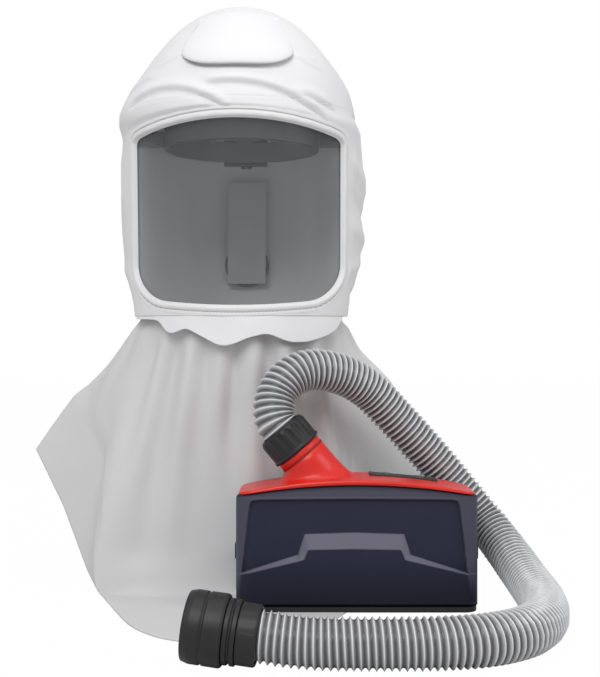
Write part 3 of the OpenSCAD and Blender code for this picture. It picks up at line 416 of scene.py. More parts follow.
# Hood cloth: a white coated nonwoven, sewn from a domed crown, a wrap round the sides and back,
# and a face panel with a rolled binding round the visor's opening. Soft swags hang over the visor.
# Its measures are in millimetres and its angles in degrees from the front.
HOOD_TOP, CROWN_SEAM, NECK_Z = 627, 505, 284
SEAM_R, SIDE_R, NECK_R, STAND_OUT = 130, 139, 109, 12
CLOTH = 1.5
PANEL_MARGIN = 12
VISOR_W, VISOR_FOOT, VISOR_H, VISOR_ARCH, VISOR_BOW = 222, 303, 168, 13, 10
VISOR_UPPER_R, VISOR_LOWER_R = 6, 36
VISOR_HALF = math.degrees(math.asin(VISOR_W / (NECK_R + STAND_OUT + SEAM_R)))
PANEL_HALF = VISOR_HALF + PANEL_MARGIN


def mix(a, b, t):
    """a where t is 0, b where it is 1."""
    return a + (b - a) * t


def polar(r, a, z):
    """Points at a radius, an angle from the front and a height."""
    r, a, z = np.broadcast_arrays(r, np.radians(a), z)
    return np.stack([r * np.sin(a), -r * np.cos(a), z], -1)


def front_r(z):
    """The radius over the face, which grows evenly from the neck to the crown's seam."""
    return mix(NECK_R + STAND_OUT, SEAM_R, (z - NECK_Z) / (CROWN_SEAM - NECK_Z))


def side_r(z):
    """The neck's radius grows to the seam's, with a bulge between them."""
    t = np.clip((z - NECK_Z) / (CROWN_SEAM - NECK_Z), 0, 1)
    bulge = SIDE_R - (NECK_R + SEAM_R) / 2
    return mix(NECK_R, SEAM_R, t) + bulge * (1 - (2 * t**0.75 - 1) ** 2)


def crown_r(z):
    """A dome that leaves the seam on a slant and closes in a round top."""
    t = np.clip((z - CROWN_SEAM) / (HOOD_TOP - CROWN_SEAM), 0, 1)
    return SEAM_R * (1 - t**1.2) ** 0.47


def swag(a, z, points, height):
    """A soft roll over a sharper crease, along the parabola through (angle, height) points."""
    points = np.array(points)
    off = z - np.polyval(np.polyfit(points[:, 0], points[:, 1], 2), a)
    span = ease((a - points[0, 0]) / 9 + 0.5) * ease((points[-1, 0] - a) / 9 + 0.5)
    return height * span * (np.exp(-(((off - 6.5) / 6) ** 2)) - 0.9 * np.exp(-(((off + 0.5) / 3.6) ** 2)))


def fold(a, z, start, end, width, height):
    """A straight ridge between two (angle, height) points, which fades over its width and its ends."""
    scale = np.array([SIDE_R * math.pi / 180, 1])
    p, q = np.array(start) * scale, np.array(end) * scale
    size = np.linalg.norm(q - p)
    x, y = a * scale[0] - p[0], z - p[1]
    along = (x * (q - p)[0] + y * (q - p)[1]) / size**2
    away = (x * (q - p)[1] - y * (q - p)[0]) / size
    return height * ease(along / 0.35 + 0.3) * ease((1 - along) / 0.35 + 0.3) * np.exp(-((away / width) ** 2))


SWAGS = [
    ([(-56, 505), (-32, 514), (-15, 503.5), (-5, 493)], 3.6),
    ([(-14, 515), (0.5, 520), (12, 516), (22, 506), (42, 489)], 4.0),
    ([(30, 509), (40, 506), (50, 498)], 3.0),
    ([(-70, 520), (-60, 528), (-48, 531)], 1.6)]
SIDE_FOLDS = [
    ((66, 455), (104, 418), 9, 3.2), ((70, 418), (112, 382), 8, -3.0), ((68, 385), (108, 362), 9, 3.4),
    ((64, 330), (96, 346), 8, 2.6), ((72, 300), (110, 318), 7, -2.4), ((80, 486), (88, 430), 10, 2.0),
    ((-68, 325), (-108, 345), 9, 2.2), ((-72, 300), (-120, 306), 8, -2.2), ((-84, 470), (-78, 400), 12, 1.6),
    ((-120, 480), (-112, 380), 13, 2.4), ((126, 470), (120, 350), 12, 2.6),
    ((-146, 440), (-150, 330), 12, -2.2), ((150, 450), (148, 320), 11, -2.4),
    ((-165, 496), (160, 486), 9, 2.2)]
LEAN = 4.5


def half_turn(a):
    """An angle brought between -180 and 180."""
    return np.mod(np.asarray(a, float) + 180, 360) - 180


def drape(a, z):
    """How far the hood's cloth stands off its plain form: it hangs fuller at the upper left than at
    the upper right, in swags over the visor, and in slack folds at both sides."""
    a = half_turn(a)
    near_seam = np.exp(-(((z - CROWN_SEAM) / np.where(z < CROWN_SEAM, 16, 26)) ** 2))
    swags = sum(swag(a, z, points, height) for points, height in SWAGS)
    slack = sum(fold(a, z, *each) for each in SIDE_FOLDS)
    gathered = 1.6 * np.sin(np.radians(a * 17) + 1.3 * np.sin(np.radians(a * 3))) * (
        1 - ease((z - NECK_Z - 4) / 26)) * ease((np.abs(a) - 66) / 10)
    return swags + slack + gathered - LEAN * np.sin(np.radians(a)) * near_seam


def hood_r(z, a):
    """The hood's plain radius, which passes from the face's to the sides' behind the visor's edge."""
    return mix(front_r(z), side_r(z), ease((np.abs(half_turn(a)) - VISOR_HALF) / 42))


def area_of(points):
    """The area of a grid of points, from the cross products of its quads' diagonals."""
    p = points[1:, 1:] - points[:-1, :-1]
    q = points[1:, :-1] - points[:-1, 1:]
    return float(np.linalg.norm(np.cross(p, q), axis=-1).sum() / 2)


def thicken(piece, millimetres):
    """Gives a sheet its thickness on the inner side."""
    solid = piece.modifiers.new("thickness", "SOLIDIFY")
    solid.thickness = millimetres * MM
    solid.offset = -1
    return piece


DOT_PITCH = 1.3 * MM


def cloth_look(name, pale, deep):
    """Coated nonwoven: fine bonded dots and fibres in its surface, faint blotches in its colour."""
    made = Finish(name, specular_ior_level=0.28, sheen_weight=0.12, sheen_roughness=0.6)
    across, along = made.uv()
    dots = (across * (2 * math.pi / DOT_PITCH)).sin() * (along * (2 * math.pi / DOT_PITCH)).sin()
    fibre = made.noise(2200, 3)
    made.put("Base Color", made.blend(made.noise(11, 5), pale, deep))
    made.put("Roughness", 0.58 + 0.14 * fibre)
    made.bump(dots * 0.35 + fibre + made.noise(120, 3) * 2.2, 0.14, 0.0006)
    return made


hood_finish = cloth_look("white hood cloth", (0.74, 0.735, 0.745), (0.69, 0.685, 0.70))

PAD_HALF, PAD_CORNER, PAD_SAG, PAD_TOP, PAD_TOP_HALF = 57, 556, 16, 609, 40


def pad_angle(z):
    """The angle from the front to the side edge of the pad on the crown, which narrows upwards."""
    half = mix(PAD_HALF, PAD_TOP_HALF, ease((z - PAD_CORNER) / (PAD_TOP - PAD_CORNER)))
    return np.degrees(np.arcsin(np.minimum(half / np.maximum(crown_r(z), 1), 0.9)))


def pad_foot(s):
    """The height of the pad's lower edge, which sags between its corners."""
    return PAD_CORNER - PAD_SAG * (1 - np.minimum(s**4, 1))


CROWN_ROWS, CROWN_COLS = 110, 440
crown_a = np.linspace(-180, 180, CROWN_COLS, endpoint=False)[None, :]
crown_rise = 1 - (1 - np.linspace(0, 1, CROWN_ROWS)[:, None]) ** 1.9
crown_z = CROWN_SEAM - 1 + (HOOD_TOP - CROWN_SEAM + 1) * crown_rise
crown_fade = 1 - ease((crown_z - 585) / 40)
crown_dents = 1.6 * np.sin(np.radians(crown_a * 5 + 40)) * np.sin((crown_z - 500) / 16) * crown_fade * (
    ease((np.abs(crown_a) - 50) / 30))
under_pad = crown_a / pad_angle(crown_z)
crown_tuck = -2.6 * np.exp(-(((crown_z - pad_foot(under_pad) + 2) / 3) ** 2)) * (
    1 - ease((np.abs(under_pad) - 0.85) / 0.3))
PAD_PULLS = ((-1, 545, 2.0), (-1, 556, 1.4), (1, 543, 2.0), (1, 554, 1.4))
crown_pulls = sum(fold(crown_a, crown_z, (side * 30, 557), (side * 50, z), 3.5, height)
                  for side, z, height in PAD_PULLS)
crown_off = 0.25 + drape(crown_a, crown_z) + crown_dents + crown_tuck + crown_pulls
crown_points = polar(crown_r(crown_z) + crown_off * crown_fade, crown_a, crown_z) * MM
crown = surface("crown_cloth", crown_points, close=(False, True), flip=True)
thicken(crown, CLOTH)
dress(crown, hood_finish, instead=("hood_crown",))
area_of(crown_points)

INLET_Z, INLET_HOLE = 350, 21.4
HOLE_CORE, HOLE_REACH = 10, 40
SEAM_LAP, SEAM_TUCK = 1.4, 1.9
wrap_arc = (180 - PANEL_HALF + SEAM_LAP) * math.pi / 180 * SIDE_R
wrap_u, wrap_v = np.meshgrid(
    np.concatenate([np.linspace(-wrap_arc, -HOLE_REACH, 70, endpoint=False),
                    np.linspace(-HOLE_REACH, HOLE_REACH, 33), np.linspace(HOLE_REACH, wrap_arc, 71)[1:]]),
    np.concatenate([np.linspace(CROWN_SEAM - INLET_Z, HOLE_REACH, 56, endpoint=False),
                    np.linspace(HOLE_REACH, -HOLE_REACH, 33),
                    np.linspace(-HOLE_REACH, NECK_Z - INLET_Z, 15)[1:]]))
hole_m = np.maximum(np.maximum(np.abs(wrap_u), np.abs(wrap_v)), 1e-6)
hole_near = np.clip((hole_m - HOLE_CORE) / (HOLE_REACH - HOLE_CORE), 0, 1)
hole_d = np.maximum(np.hypot(wrap_u, wrap_v), 1e-6)
hole_pull = np.where(hole_m <= HOLE_REACH, mix(INLET_HOLE / hole_d, HOLE_REACH / hole_m, hole_near), 1)
to_u, to_v = hole_pull * wrap_u, hole_pull * wrap_v
wrap_a = 180 + np.degrees(to_u / SIDE_R)
wrap_z = INLET_Z + to_v
wrap_tuck = SEAM_TUCK * ease((np.abs(wrap_a - 180) - 180 + PANEL_HALF) / 0.9 + 1)
wrap_drape = drape(wrap_a, wrap_z) * ease((np.hypot(to_u, to_v) - 26) / 30)
wrap_points = polar(hood_r(wrap_z, wrap_a) - wrap_tuck + wrap_drape, wrap_a, wrap_z) * MM
quad_u, quad_v = (np.abs(c[:-1, :-1] + c[1:, 1:]) / 2 for c in (wrap_u, wrap_v))
wrap = surface("wrap_cloth", wrap_points, keep=np.maximum(quad_u, quad_v) > HOLE_CORE)
thicken(wrap, CLOTH)
dress(wrap, hood_finish, instead=("hood_wrap",))
area_of(wrap_points)

# Crown pad: a soft stuffed cloth pad sewn on the crown's front along its edge. Its lower edge overhangs
# in a roll with a crease under it, and its corners are pinched by the seam. Its fill is blown up as cloth.
PAD_PUFF, PAD_SWELL, PAD_TOP_ROUND, PAD_STEPS = 12, 3.0, 8, 18


def on_crown(s, v, off):
    """A place over the crown: s from side to side, v from the pad's lower edge to its upper one, and
    off outwards, which turns from a little downwards to upwards."""
    z = mix(pad_foot(s), PAD_TOP - PAD_TOP_ROUND * s**2, v)
    rise = np.radians(mix(-25, 60, ease(v / 0.5)))
    return polar(crown_r(z) + off * np.cos(rise), s * pad_angle(z), z + off * np.sin(rise))


pad_loop = np.linspace(0, 2 * np.pi, 96, endpoint=False)[None, :]
pad_v = np.linspace(0, 1, 48)[:, None] ** 1.7
pad_s = -np.cos(pad_loop)
pad_high = ease(pad_v / 0.4)
pad_side = (1 - np.abs(pad_s) ** mix(7, 2.6, pad_high)) ** mix(0.5, 1.0, pad_high)
pad_up = (1 - np.exp(-pad_v / 0.035)) * (1 - 0.4 * pad_high) * (1 - pad_v) ** 0.9 * pad_side
pad_off = np.where(np.sin(pad_loop) > 0, 1.2 + PAD_PUFF * pad_up, 0.9)
pad = surface("crown_pad_stuffed", on_crown(pad_s, pad_v, pad_off) * MM, close=(False, True))
pad_mesh = bmesh.new()
pad_mesh.from_mesh(pad.data)
bmesh.ops.remove_doubles(pad_mesh, verts=pad_mesh.verts, dist=0.0006)
bmesh.ops.recalc_face_normals(pad_mesh, faces=pad_mesh.faces)
pad_mesh.to_mesh(pad.data)
pad_mesh.free()


def coordinates(mesh):
    """A mesh's points as rows of three."""
    flat = np.empty(len(mesh.vertices) * 3, np.float32)
    mesh.vertices.foreach_get("co", flat)
    return flat.reshape(-1, 3)


pad_rest = coordinates(pad.data)
fill = pad.modifiers.new("fill", "CLOTH")
cloth = fill.settings
cloth.use_pressure = True
cloth.uniform_pressure_force = 4
cloth.effector_weights.gravity = 0
cloth.tension_stiffness = cloth.compression_stiffness = 25
cloth.bending_stiffness = 0.6
sewn = pad.vertex_groups.new(name="sewn")
pad_off_crown = np.linalg.norm(pad_rest[:, :2], axis=1) - crown_r(pad_rest[:, 2] / MM) * MM
sewn.add(np.flatnonzero(pad_off_crown < 1.2 * MM).tolist(), 1.0, "REPLACE")
cloth.vertex_group_mass = "sewn"
for step in range(PAD_STEPS):
    scene.frame_set(step + 1)
blown = pad.evaluated_get(bpy.context.evaluated_depsgraph_get()).to_mesh()
shift = coordinates(blown) - pad_rest
far = np.maximum(np.linalg.norm(shift, axis=1, keepdims=True), 1e-9)
pad.data.vertices.foreach_set("co", (pad_rest + shift * np.minimum(1, PAD_SWELL * MM / far)).reshape(-1))
pad.modifiers.remove(fill)
scene.frame_set(1)
finer = pad.modifiers.new("finer", "SUBSURF")
finer.levels = finer.render_levels = 1
pad_finish = cloth_look("pad cloth", (0.76, 0.755, 0.765), (0.72, 0.715, 0.73))
dress(pad, pad_finish, instead=("crown_pad",))

# Face panel: the cloth between the visor and the wrap, and the rolled binding that holds the visor's
# edge. The binding is a narrow roll, a row of stitches, and a flatter band outside it.
BINDING_W = 11


def arc(x, z, r, start, count):
    """A quarter circle about a point, from an angle on."""
    t = np.radians(np.linspace(start, start + 90, count))
    return np.stack([x + r * np.cos(t), z + r * np.sin(t)], 1)


def line(a, b, count):
    """Even steps between two points, without both."""
    t = np.linspace(0, 1, count + 2)[1:-1, None]
    return mix(np.array(a, float), np.array(b, float), t)


def outline(w, h, upper, lower):
    """A rounded rectangle on the height 0, from its lower left to its right and round."""
    x, u = w / 2 - lower, w / 2 - upper
    return np.concatenate([
        line((-x, 0), (x, 0), 54), arc(x, lower, lower, -90, 16),
        line((w / 2, lower), (w / 2, h - upper), 40), arc(u, h - upper, upper, 0, 10),
        line((u, h), (-u, h), 170), arc(-u, h - upper, upper, 90, 10),
        line((-w / 2, h - upper), (-w / 2, lower), 40), arc(-x, lower, lower, 180, 16)])


def visor_edge():
    """The visor's opening as (angle, height): its top arches up and its foot bows down."""
    p = outline(VISOR_W, VISOR_H, VISOR_UPPER_R, VISOR_LOWER_R)
    u = 1 - (p[:, 0] / (VISOR_W / 2)) ** 2
    z = VISOR_FOOT + p[:, 1] + np.where(p[:, 1] > VISOR_H / 2, VISOR_ARCH * u, -VISOR_BOW * u)
    return np.stack([np.degrees(np.arcsin(p[:, 0] / front_r(z))), z], 1)


edge = visor_edge()
UNROLL = np.array([math.pi / 180 * front_r(400), 1])
edge_run = np.roll(edge, -1, 0) - np.roll(edge, 1, 0)
edge_out = unit((edge_run * UNROLL) @ np.array([[0, -1], [1, 0]])) / UNROLL
binding_d = np.concatenate([[-1.2, -1.0, -0.4], np.linspace(0, BINDING_W, 30), [BINDING_W + 0.3]])[:, None]
roll = np.sqrt(np.clip(1 - ((binding_d - 2.9) / 3.1) ** 2, 0, 1)) * 2.3
band = 1.5 * ease((binding_d - 6.6) / 0.8) * (1 - ease((binding_d - 9.7) / 1.4))
binding_up = np.where(binding_d < -0.1, -2.9, 0) + 0.25 + roll + band
binding_at = edge[None] + binding_d[..., None] * edge_out[None]
binding_sway = 0.2 * np.sin(np.linspace(0, 46 * np.pi, len(edge), endpoint=False)) * ease(binding_d / 3)


def on_hood(at, off):
    """Points at (angle, height) pairs on the hood's plain form, so far off it."""
    a, z = at[..., 0], at[..., 1]
    return polar(hood_r(z, a) + off, a, z) * MM


binding_points = on_hood(binding_at, binding_up + binding_sway)
binding = surface("visor_binding", binding_points, close=(False, True), flip=True)
binding_finish = cloth_look("binding cloth", (0.74, 0.735, 0.745), (0.70, 0.695, 0.705))
STITCH_PITCH, STITCH_AT, STITCH_HALF = 3.4 * MM, 11.8 * MM, 0.45 * MM
stitch_u, stitch_v = binding_finish.uv()
stitch = ((stitch_u * (1 / STITCH_PITCH)).fraction() < 0.62) * ((stitch_v - STITCH_AT).abs() < STITCH_HALF)
stitch_colour = binding_finish.blend(stitch * 0.75, (0.72, 0.715, 0.725), (0.36, 0.36, 0.37))
binding_finish.put("Base Color", stitch_colour)
binding_finish.bump(stitch * 1.6 + binding_finish.noise(2200, 3), 0.25, 0.0007)
dress(binding, binding_finish)

rim = outline(2 * PANEL_HALF, CROWN_SEAM - NECK_Z, 2, 2) + np.array([0, NECK_Z])
panel_t = np.linspace(0, 1, 40)[:, None, None]
panel_at = mix(edge + (BINDING_W - 1.5) * edge_out, rim, panel_t)
panel_lift = drape(panel_at[..., 0], panel_at[..., 1]) * ease(panel_t[..., 0] / 0.3)
panel_tuck = 0.5 * ease((panel_at[..., 1] - CROWN_SEAM + 4) / 3)
panel = surface("face_cloth", on_hood(panel_at, panel_lift - panel_tuck), close=(False, True), flip=True)
thicken(panel, CLOTH)
dress(panel, hood_finish, instead=("face_panel",))

# Frill: the loose hem of the face panel, cut from the same cloth. It is sewn on under the panel and
# hangs over the neck in uneven lobes.
FRILL_HALF, FRILL_H = 64, 20
FRILL_HEM = np.array([
    (-64, 0.15), (-50, 0.17), (-41, 0.25), (-37.5, 0.72), (-34, 0.97), (-30, 0.9), (-25, 0.62), (-16, 1.1),
    (-7, 1.6), (-1, 1.5), (5, 1.18), (15, 0.92), (21, 1.2), (26, 1.4), (36, 1.38), (48, 1.06), (57, 0.7),
    (64, 0.06)])
frill_a = np.linspace(-FRILL_HALF, FRILL_HALF, 260)[None, :]
frill_v = np.linspace(0, 1, 28)[:, None]


def soften(values, count, mode):
    """A running mean over so many values, whose weights fall off to both sides."""
    return np.convolve(values, np.hanning(count) / np.hanning(count).sum(), mode)


frill_share = soften(np.pad(np.interp(frill_a[0], *FRILL_HEM.T), 11, "edge"), 23, "valid")[None, :]
frill_wave = 1.1 * np.sin(np.radians(frill_a * 9)) * frill_v * (1.2 - frill_v)
frill_out = 0.4 + frill_v * (1.2 + 3.6 * frill_share / 1.6) + frill_wave
frill_z = NECK_Z + 1.5 - frill_v * (FRILL_H * frill_share + 1.5)
frill_points = polar(hood_r(NECK_Z, frill_a) + frill_out, frill_a, frill_z) * MM
frill = surface("frill_cloth", frill_points)
thicken(frill, CLOTH)
dress(frill, hood_finish, instead=("neck_frill",))
area_of(frill_points)

# Cape: one skirt of softer cloth, gathered into the neck. It comes down to the floor in front and
# behind and lies on it there, and runs out to a stiff tip over each shoulder.
CAPE_TIP_X, CAPE_TIP_Z, CAPE_REACH, CAPE_FOLD_Y = 231, 138, 308, 120
FOLD_ANGLE, FOLD_ROW, FOLD_SHARE, GATHER_DEPTH = 45, 0.6, 0.606, 1.4
HEM = np.array([
    (0, 0, 1, 0), (10, 0.23, 0.948, 0), (20, 0.38, 0.81, 0), (35, 0.560, 0.455, 0), (45, 0.590, 0.39, 0),
    (55, 0.68, 0.26, 0.123), (70, 0.822, 0.146, 0.58), (90, 1, 0, 1)])
GATHERS = [
    (-58, 5, 2.6, 0.5), (-47, 5, -3.6, 0.55), (-39, 4, 2.4, 0.4), (-31.5, 5, -5.0, 0.6),
    (-22, 4.5, 4.6, 0.55), (-14, 3.5, -2.6, 0.3), (-7, 4, 2.6, 0.35), (-0.5, 3, -4.8, 0.33),
    (9.5, 4.5, 4.6, 0.6), (17, 3.5, -4.8, 0.4), (25, 4.5, 4.2, 0.5), (33, 4, -4.2, 0.45),
    (42, 4.5, 3.6, 0.55), (51, 4, -3.6, 0.5), (60, 5, 3.0, 0.5)]


def hem_share(b, column, mirror):
    """A column of the hem's table over the angle, rounded over 16 degrees on the floor and over 5 at
    the tip. mirror is its sign past 0 and past 90."""
    fine = np.arange(-20, 110.01, 0.25)
    at = np.where(fine < 0, -fine, np.where(fine > 90, 180 - fine, fine))
    sign = np.where(fine < 0, mirror[0], np.where(fine > 90, mirror[1], 1))
    wide, narrow = (soften(sign * np.interp(at, HEM[:, 0], HEM[:, column]), n, "same") for n in (65, 23))
    return np.interp(b, fine, mix(wide, narrow, ease((fine - 45) / 25)))


def off_middle(a):
    """The angle from the nearer of the front's and the back's middle line."""
    return np.where(np.abs(a) > 90, 180 - np.abs(a), np.abs(a))


def cape_base(a, t):
    """Straight from the neck to the fold and from there to the hem, with a tight curve at the fold."""
    b = off_middle(a)
    rad = np.radians(b)
    flat = np.zeros_like(b)
    top = np.stack([NECK_R * np.sin(rad), NECK_R * np.cos(rad), flat + NECK_Z - 0.4], -1)
    hem = np.stack([CAPE_TIP_X * hem_share(b, 1, (-1, 1)), CAPE_REACH * hem_share(b, 2, (1, -1)),
                    np.maximum(CAPE_TIP_Z * hem_share(b, 3, (1, 1)), 0)], -1)
    foot = np.stack([CAPE_TIP_X * FOLD_SHARE * b / FOLD_ANGLE, flat + CAPE_FOLD_Y, flat], -1)
    corner = mix(foot, mix(top, hem, FOLD_ROW), ease((b - FOLD_ANGLE + 4) / 18)[..., None])
    slack = ease(-a / 34) * (np.abs(a) < 90)
    before, after = mix(0.07, 0.15, slack), mix(0.02, 0.09, slack)
    start = mix(corner, top, before[..., None] / FOLD_ROW)
    end = mix(corner, hem, after[..., None] / (1 - FOLD_ROW))
    s = np.clip((t - FOLD_ROW + before) / (before + after), 0, 1)[..., None]
    bend = (1 - s) ** 2 * start + 2 * s * (1 - s) * corner + s**2 * end
    t = t[..., None]
    lower = mix(corner, hem, (t - FOLD_ROW) / (1 - FOLD_ROW))
    straight = np.where(t < FOLD_ROW, mix(top, corner, t / FOLD_ROW), lower)
    point = np.where((s > 0) & (s < 1), bend, straight)
    return point * np.stack([np.where(a < 0, -1, 1), np.where(np.abs(a) > 90, 1, -1), flat + 1], -1)


def cape_folds(a, t):
    """Pleats from the neck, each as wide and as long as in the list in front and even at the back,
    and a slow wave lower down."""
    front = sum(h * np.exp(-(((a - at) / (w * (1 + 0.6 * t))) ** 2)) * (1 - ease((t - 0.25 * reach) / reach))
                for at, w, h, reach in GATHERS)
    behind = ease((np.abs(a) - 66) / 10) * 6 * np.cos(np.radians(11 * a) + 0.9 * np.sin(np.radians(3 * a)))
    pleats = GATHER_DEPTH * front + behind * (1 - ease((t - 0.25) / 0.35))
    wave = 4.5 * np.sin(np.radians(5 * a + 30)) * ease((t - 0.15) / 0.25) * (1 - ease((t - 0.48) / 0.12))
    on_floor = ease((t - 0.5) / 0.07) * ease((58 - off_middle(a)) / 8)
    return (pleats * ease(t / 0.1) + wave) * (1 - on_floor)


CAPE_COLS = 376
CAPE_SWAY, FLOOR_EASE = 6, 0.8
cape_a, cape_t = np.meshgrid(
    np.linspace(-180, 180, CAPE_COLS, endpoint=False),
    np.concatenate([np.linspace(0, 0.52, 64, endpoint=False), np.linspace(0.52, 0.63, 26, endpoint=False),
                    np.linspace(0.63, 1, 40)]))
cape_flat = cape_base(cape_a, cape_t)
cape_round = np.gradient(np.pad(cape_flat, ((0, 0), (1, 1), (0, 0)), "wrap"), axis=1)[:, 1:-1]
cape_out = unit(np.cross(np.gradient(cape_flat, axis=0), cape_round))
cape_points = cape_flat + cape_out * (CLOTH + cape_folds(cape_a, cape_t))[..., None]
cape_points[..., 0] -= CAPE_SWAY * np.sin(np.pi * cape_t)
cape_points[..., 2] = CLOTH + FLOOR_EASE * np.logaddexp(0, (cape_points[..., 2] - CLOTH) / FLOOR_EASE)
cape = surface("cape_cloth", cape_points * MM, close=(False, True))
thicken(cape, CLOTH)
cape_finish = cloth_look("grey white cape cloth", (0.60, 0.60, 0.606), (0.555, 0.555, 0.563))
dress(cape, cape_finish, instead=("cape",))
area_of(cape_points * MM)

# Blower top: one red moulding, crowned along its length, with a slanted outlet neck that flares
# into it. It sits on the casing along a crowned parting line, and a thin groove rings the neck.
BLOWER_X, BLOWER_W, BLOWER_FRONT, BLOWER_BACK, BLOWER_CORNER = 4, 230, -200, -132, 14
BLOWER_MID = np.array([BLOWER_W / 2, -166])
BLOWER_AT = np.array([BLOWER_X, 0, 0])
PART_LINE, TOP_LINE = (111.5, 122), (113.5, 126.5)
END_R = 8
OUTLET_X, OUTLET_R, OUTLET_LEN, NECK_LEAN = 81, 23.5, 34.5, math.radians(40)


def crowned(x, heights):
    """Height of the circle's arc over the blower's length, from its heights at the ends and the middle."""
    end, mid = heights
    r = ((BLOWER_W / 2) ** 2 + (mid - end) ** 2) / (2 * (mid - end))
    return mid - r + np.sqrt(r**2 - (x - BLOWER_W / 2) ** 2)


END_Z = crowned(END_R, TOP_LINE) - END_R


def under_ends(x, z):
    """The height z, or the quarter circle that rounds the blower's upper ends where that is lower."""
    into = np.clip(END_R - np.minimum(x, BLOWER_W - x), 0, END_R)
    return np.where(into > 0, np.minimum(z, END_Z + np.sqrt(END_R**2 - into**2)), z)


def plan_line(count, ends):
    """Even steps round the blower's plan outline and the outward directions there, from the middle
    of its right end. ends is how far both ends are drawn in."""
    half = np.array([BLOWER_W / 2 - ends, (BLOWER_BACK - BLOWER_FRONT) / 2])
    t = np.radians(np.linspace(0, 360, 721))
    spoke = np.stack([np.cos(t), np.sin(t)], 1)
    loop = np.sign(np.round(spoke, 9)) * (half - BLOWER_CORNER) + spoke * BLOWER_CORNER
    run = np.concatenate([[0], np.cumsum(np.linalg.norm(np.diff(loop, axis=0), axis=1))])
    even = np.linspace(0, run[-1], count, endpoint=False)
    at = np.stack([np.interp(even, run, loop[:, k]) for k in (0, 1)], 1)
    out = unit(np.stack([np.interp(even, run, spoke[:, k]) for k in (0, 1)], 1))
    return at + BLOWER_MID, out


TOP_COLS = 300
OUTLET_FOOT = np.array([OUTLET_X, BLOWER_MID[1], crowned(OUTLET_X, TOP_LINE)])
OUTLET_AXIS = np.array([-math.sin(NECK_LEAN), 0, math.cos(NECK_LEAN)])
OUTLET_SIDE = np.array([math.cos(NECK_LEAN), 0, math.sin(NECK_LEAN)])
top_turn = np.linspace(0, 2 * np.pi, TOP_COLS, endpoint=False)
top_cos, top_sin = np.cos(top_turn)[:, None], np.sin(top_turn)[:, None]
neck_spoke = top_cos * OUTLET_SIDE + top_sin * np.array([0, 1, 0])
neck_line = np.array([
    (19, 4.5), (19, 0.2), (22.8, 0), (23.5, -0.6), (23.5, -6.2), (23.2, -6.4), (22.3, -6.5), (22.3, -7.8),
    (23.2, -7.9), (23.5, -8.1)])
neck_r, neck_run = neck_line[:, 0, None, None], OUTLET_LEN + neck_line[:, 1, None, None]
neck_rows = OUTLET_FOOT + neck_run * OUTLET_AXIS + neck_r * neck_spoke
FLARE_X, FLARE_HALF_X, FLARE_HALF_Y = OUTLET_X - 3.5, 41, 32
flare_start = OUTLET_FOOT + (21 - 4.9 * top_cos) * OUTLET_AXIS + OUTLET_R * neck_spoke
flare_x = FLARE_X + FLARE_HALF_X * top_cos
flare_foot = np.hstack([flare_x, BLOWER_MID[1] + FLARE_HALF_Y * top_sin, crowned(flare_x, TOP_LINE)])
flare_down = mix(OUTLET_AXIS * 24, np.array([2.5, 0, 5.5]), 0.5 - 0.5 * top_cos)
flare_in = np.hstack([6 * top_cos, 7 * top_sin, 0 * top_cos - 1.5])
flare_t = np.linspace(0, 1, 22)[:, None, None]
flare_rows = ((1 - flare_t) ** 3 * flare_start + 3 * flare_t * (1 - flare_t) ** 2 * (flare_start - flare_down)
              + 3 * flare_t**2 * (1 - flare_t) * (flare_foot - flare_in) + flare_t**3 * flare_foot)
top_edge, top_out = plan_line(TOP_COLS, 2.6)
top_at_edge = under_ends(top_edge[:, 0], crowned(top_edge[:, 0], TOP_LINE))
part_at_edge = crowned(top_edge[:, 0], PART_LINE)
edge_roll = np.clip(0.8 * (top_at_edge - part_at_edge), 0.1, 2.4)
deck_t = np.linspace(0, 1, 30)[1:, None, None]
deck_line = mix(flare_foot[:, :2], top_edge - edge_roll[:, None] * top_out, deck_t)
deck_x = deck_line[..., :1]
deck_rows = np.concatenate([deck_line, under_ends(deck_x, crowned(deck_x, TOP_LINE))], -1)
roll_turn = np.linspace(0, np.pi / 2, 7)[1:, None]
roll_rows = np.concatenate([
    top_edge - ((1 - np.sin(roll_turn)) * edge_roll)[..., None] * top_out,
    (deck_rows[-1, :, 2] - edge_roll * (1 - np.cos(roll_turn)))[..., None]], -1)
foot_rows = np.stack([np.column_stack([top_edge - d * top_out, part_at_edge]) for d in (0, 3)])
top_points = np.concatenate([neck_rows, flare_rows, deck_rows, roll_rows, foot_rows])
KEYPAD_AT, KEYPAD_HALF = np.array([162, -152]), np.array([32, 10])
top_middle = (top_points[:-1] + top_points[1:])[..., :2] / 2
top_keep = (np.abs((top_middle + np.roll(top_middle, -1, 1)) / 2 - KEYPAD_AT) > KEYPAD_HALF).any(-1)
top = surface("red_top", (top_points + BLOWER_AT) * MM, close=(False, True), keep=top_keep)
red_finish = moulded("red moulded plastic", (0.61, 0.014, 0.008), (0.69, 0.021, 0.013), 0.3, 1300, 0.08,
                     blotches=18, uneven=0.14, gloss=0.35, coat_weight=0.15, coat_roughness=0.2)
dress(top, red_finish, instead=("top_shell",))

# Filter cover: the navy front of the blower, hinged at its foot. A flat field is sunk into its border,
# and a lower field stands out under a ledge, which steps down to a wing at both sides.
HINGE_Z, BARREL_R, COVER_DEPTH, COVER_GAP, COVER_ROLL, COVER_WALL = 12.95, 5.85, 11.7, 0.3, 2, 2.4
RELIEF_MID = 112.4
LEDGE_TOP = np.array([(0, 76.5), (46.9, 75), (53.2, 55.5), (106.7, 38.3), (120, 38.3)])
LEDGE_FOOT = np.array([(0, 61.9), (43.8, 61), (47.7, 51.6), (106.7, 37.6), (120, 37.6)])


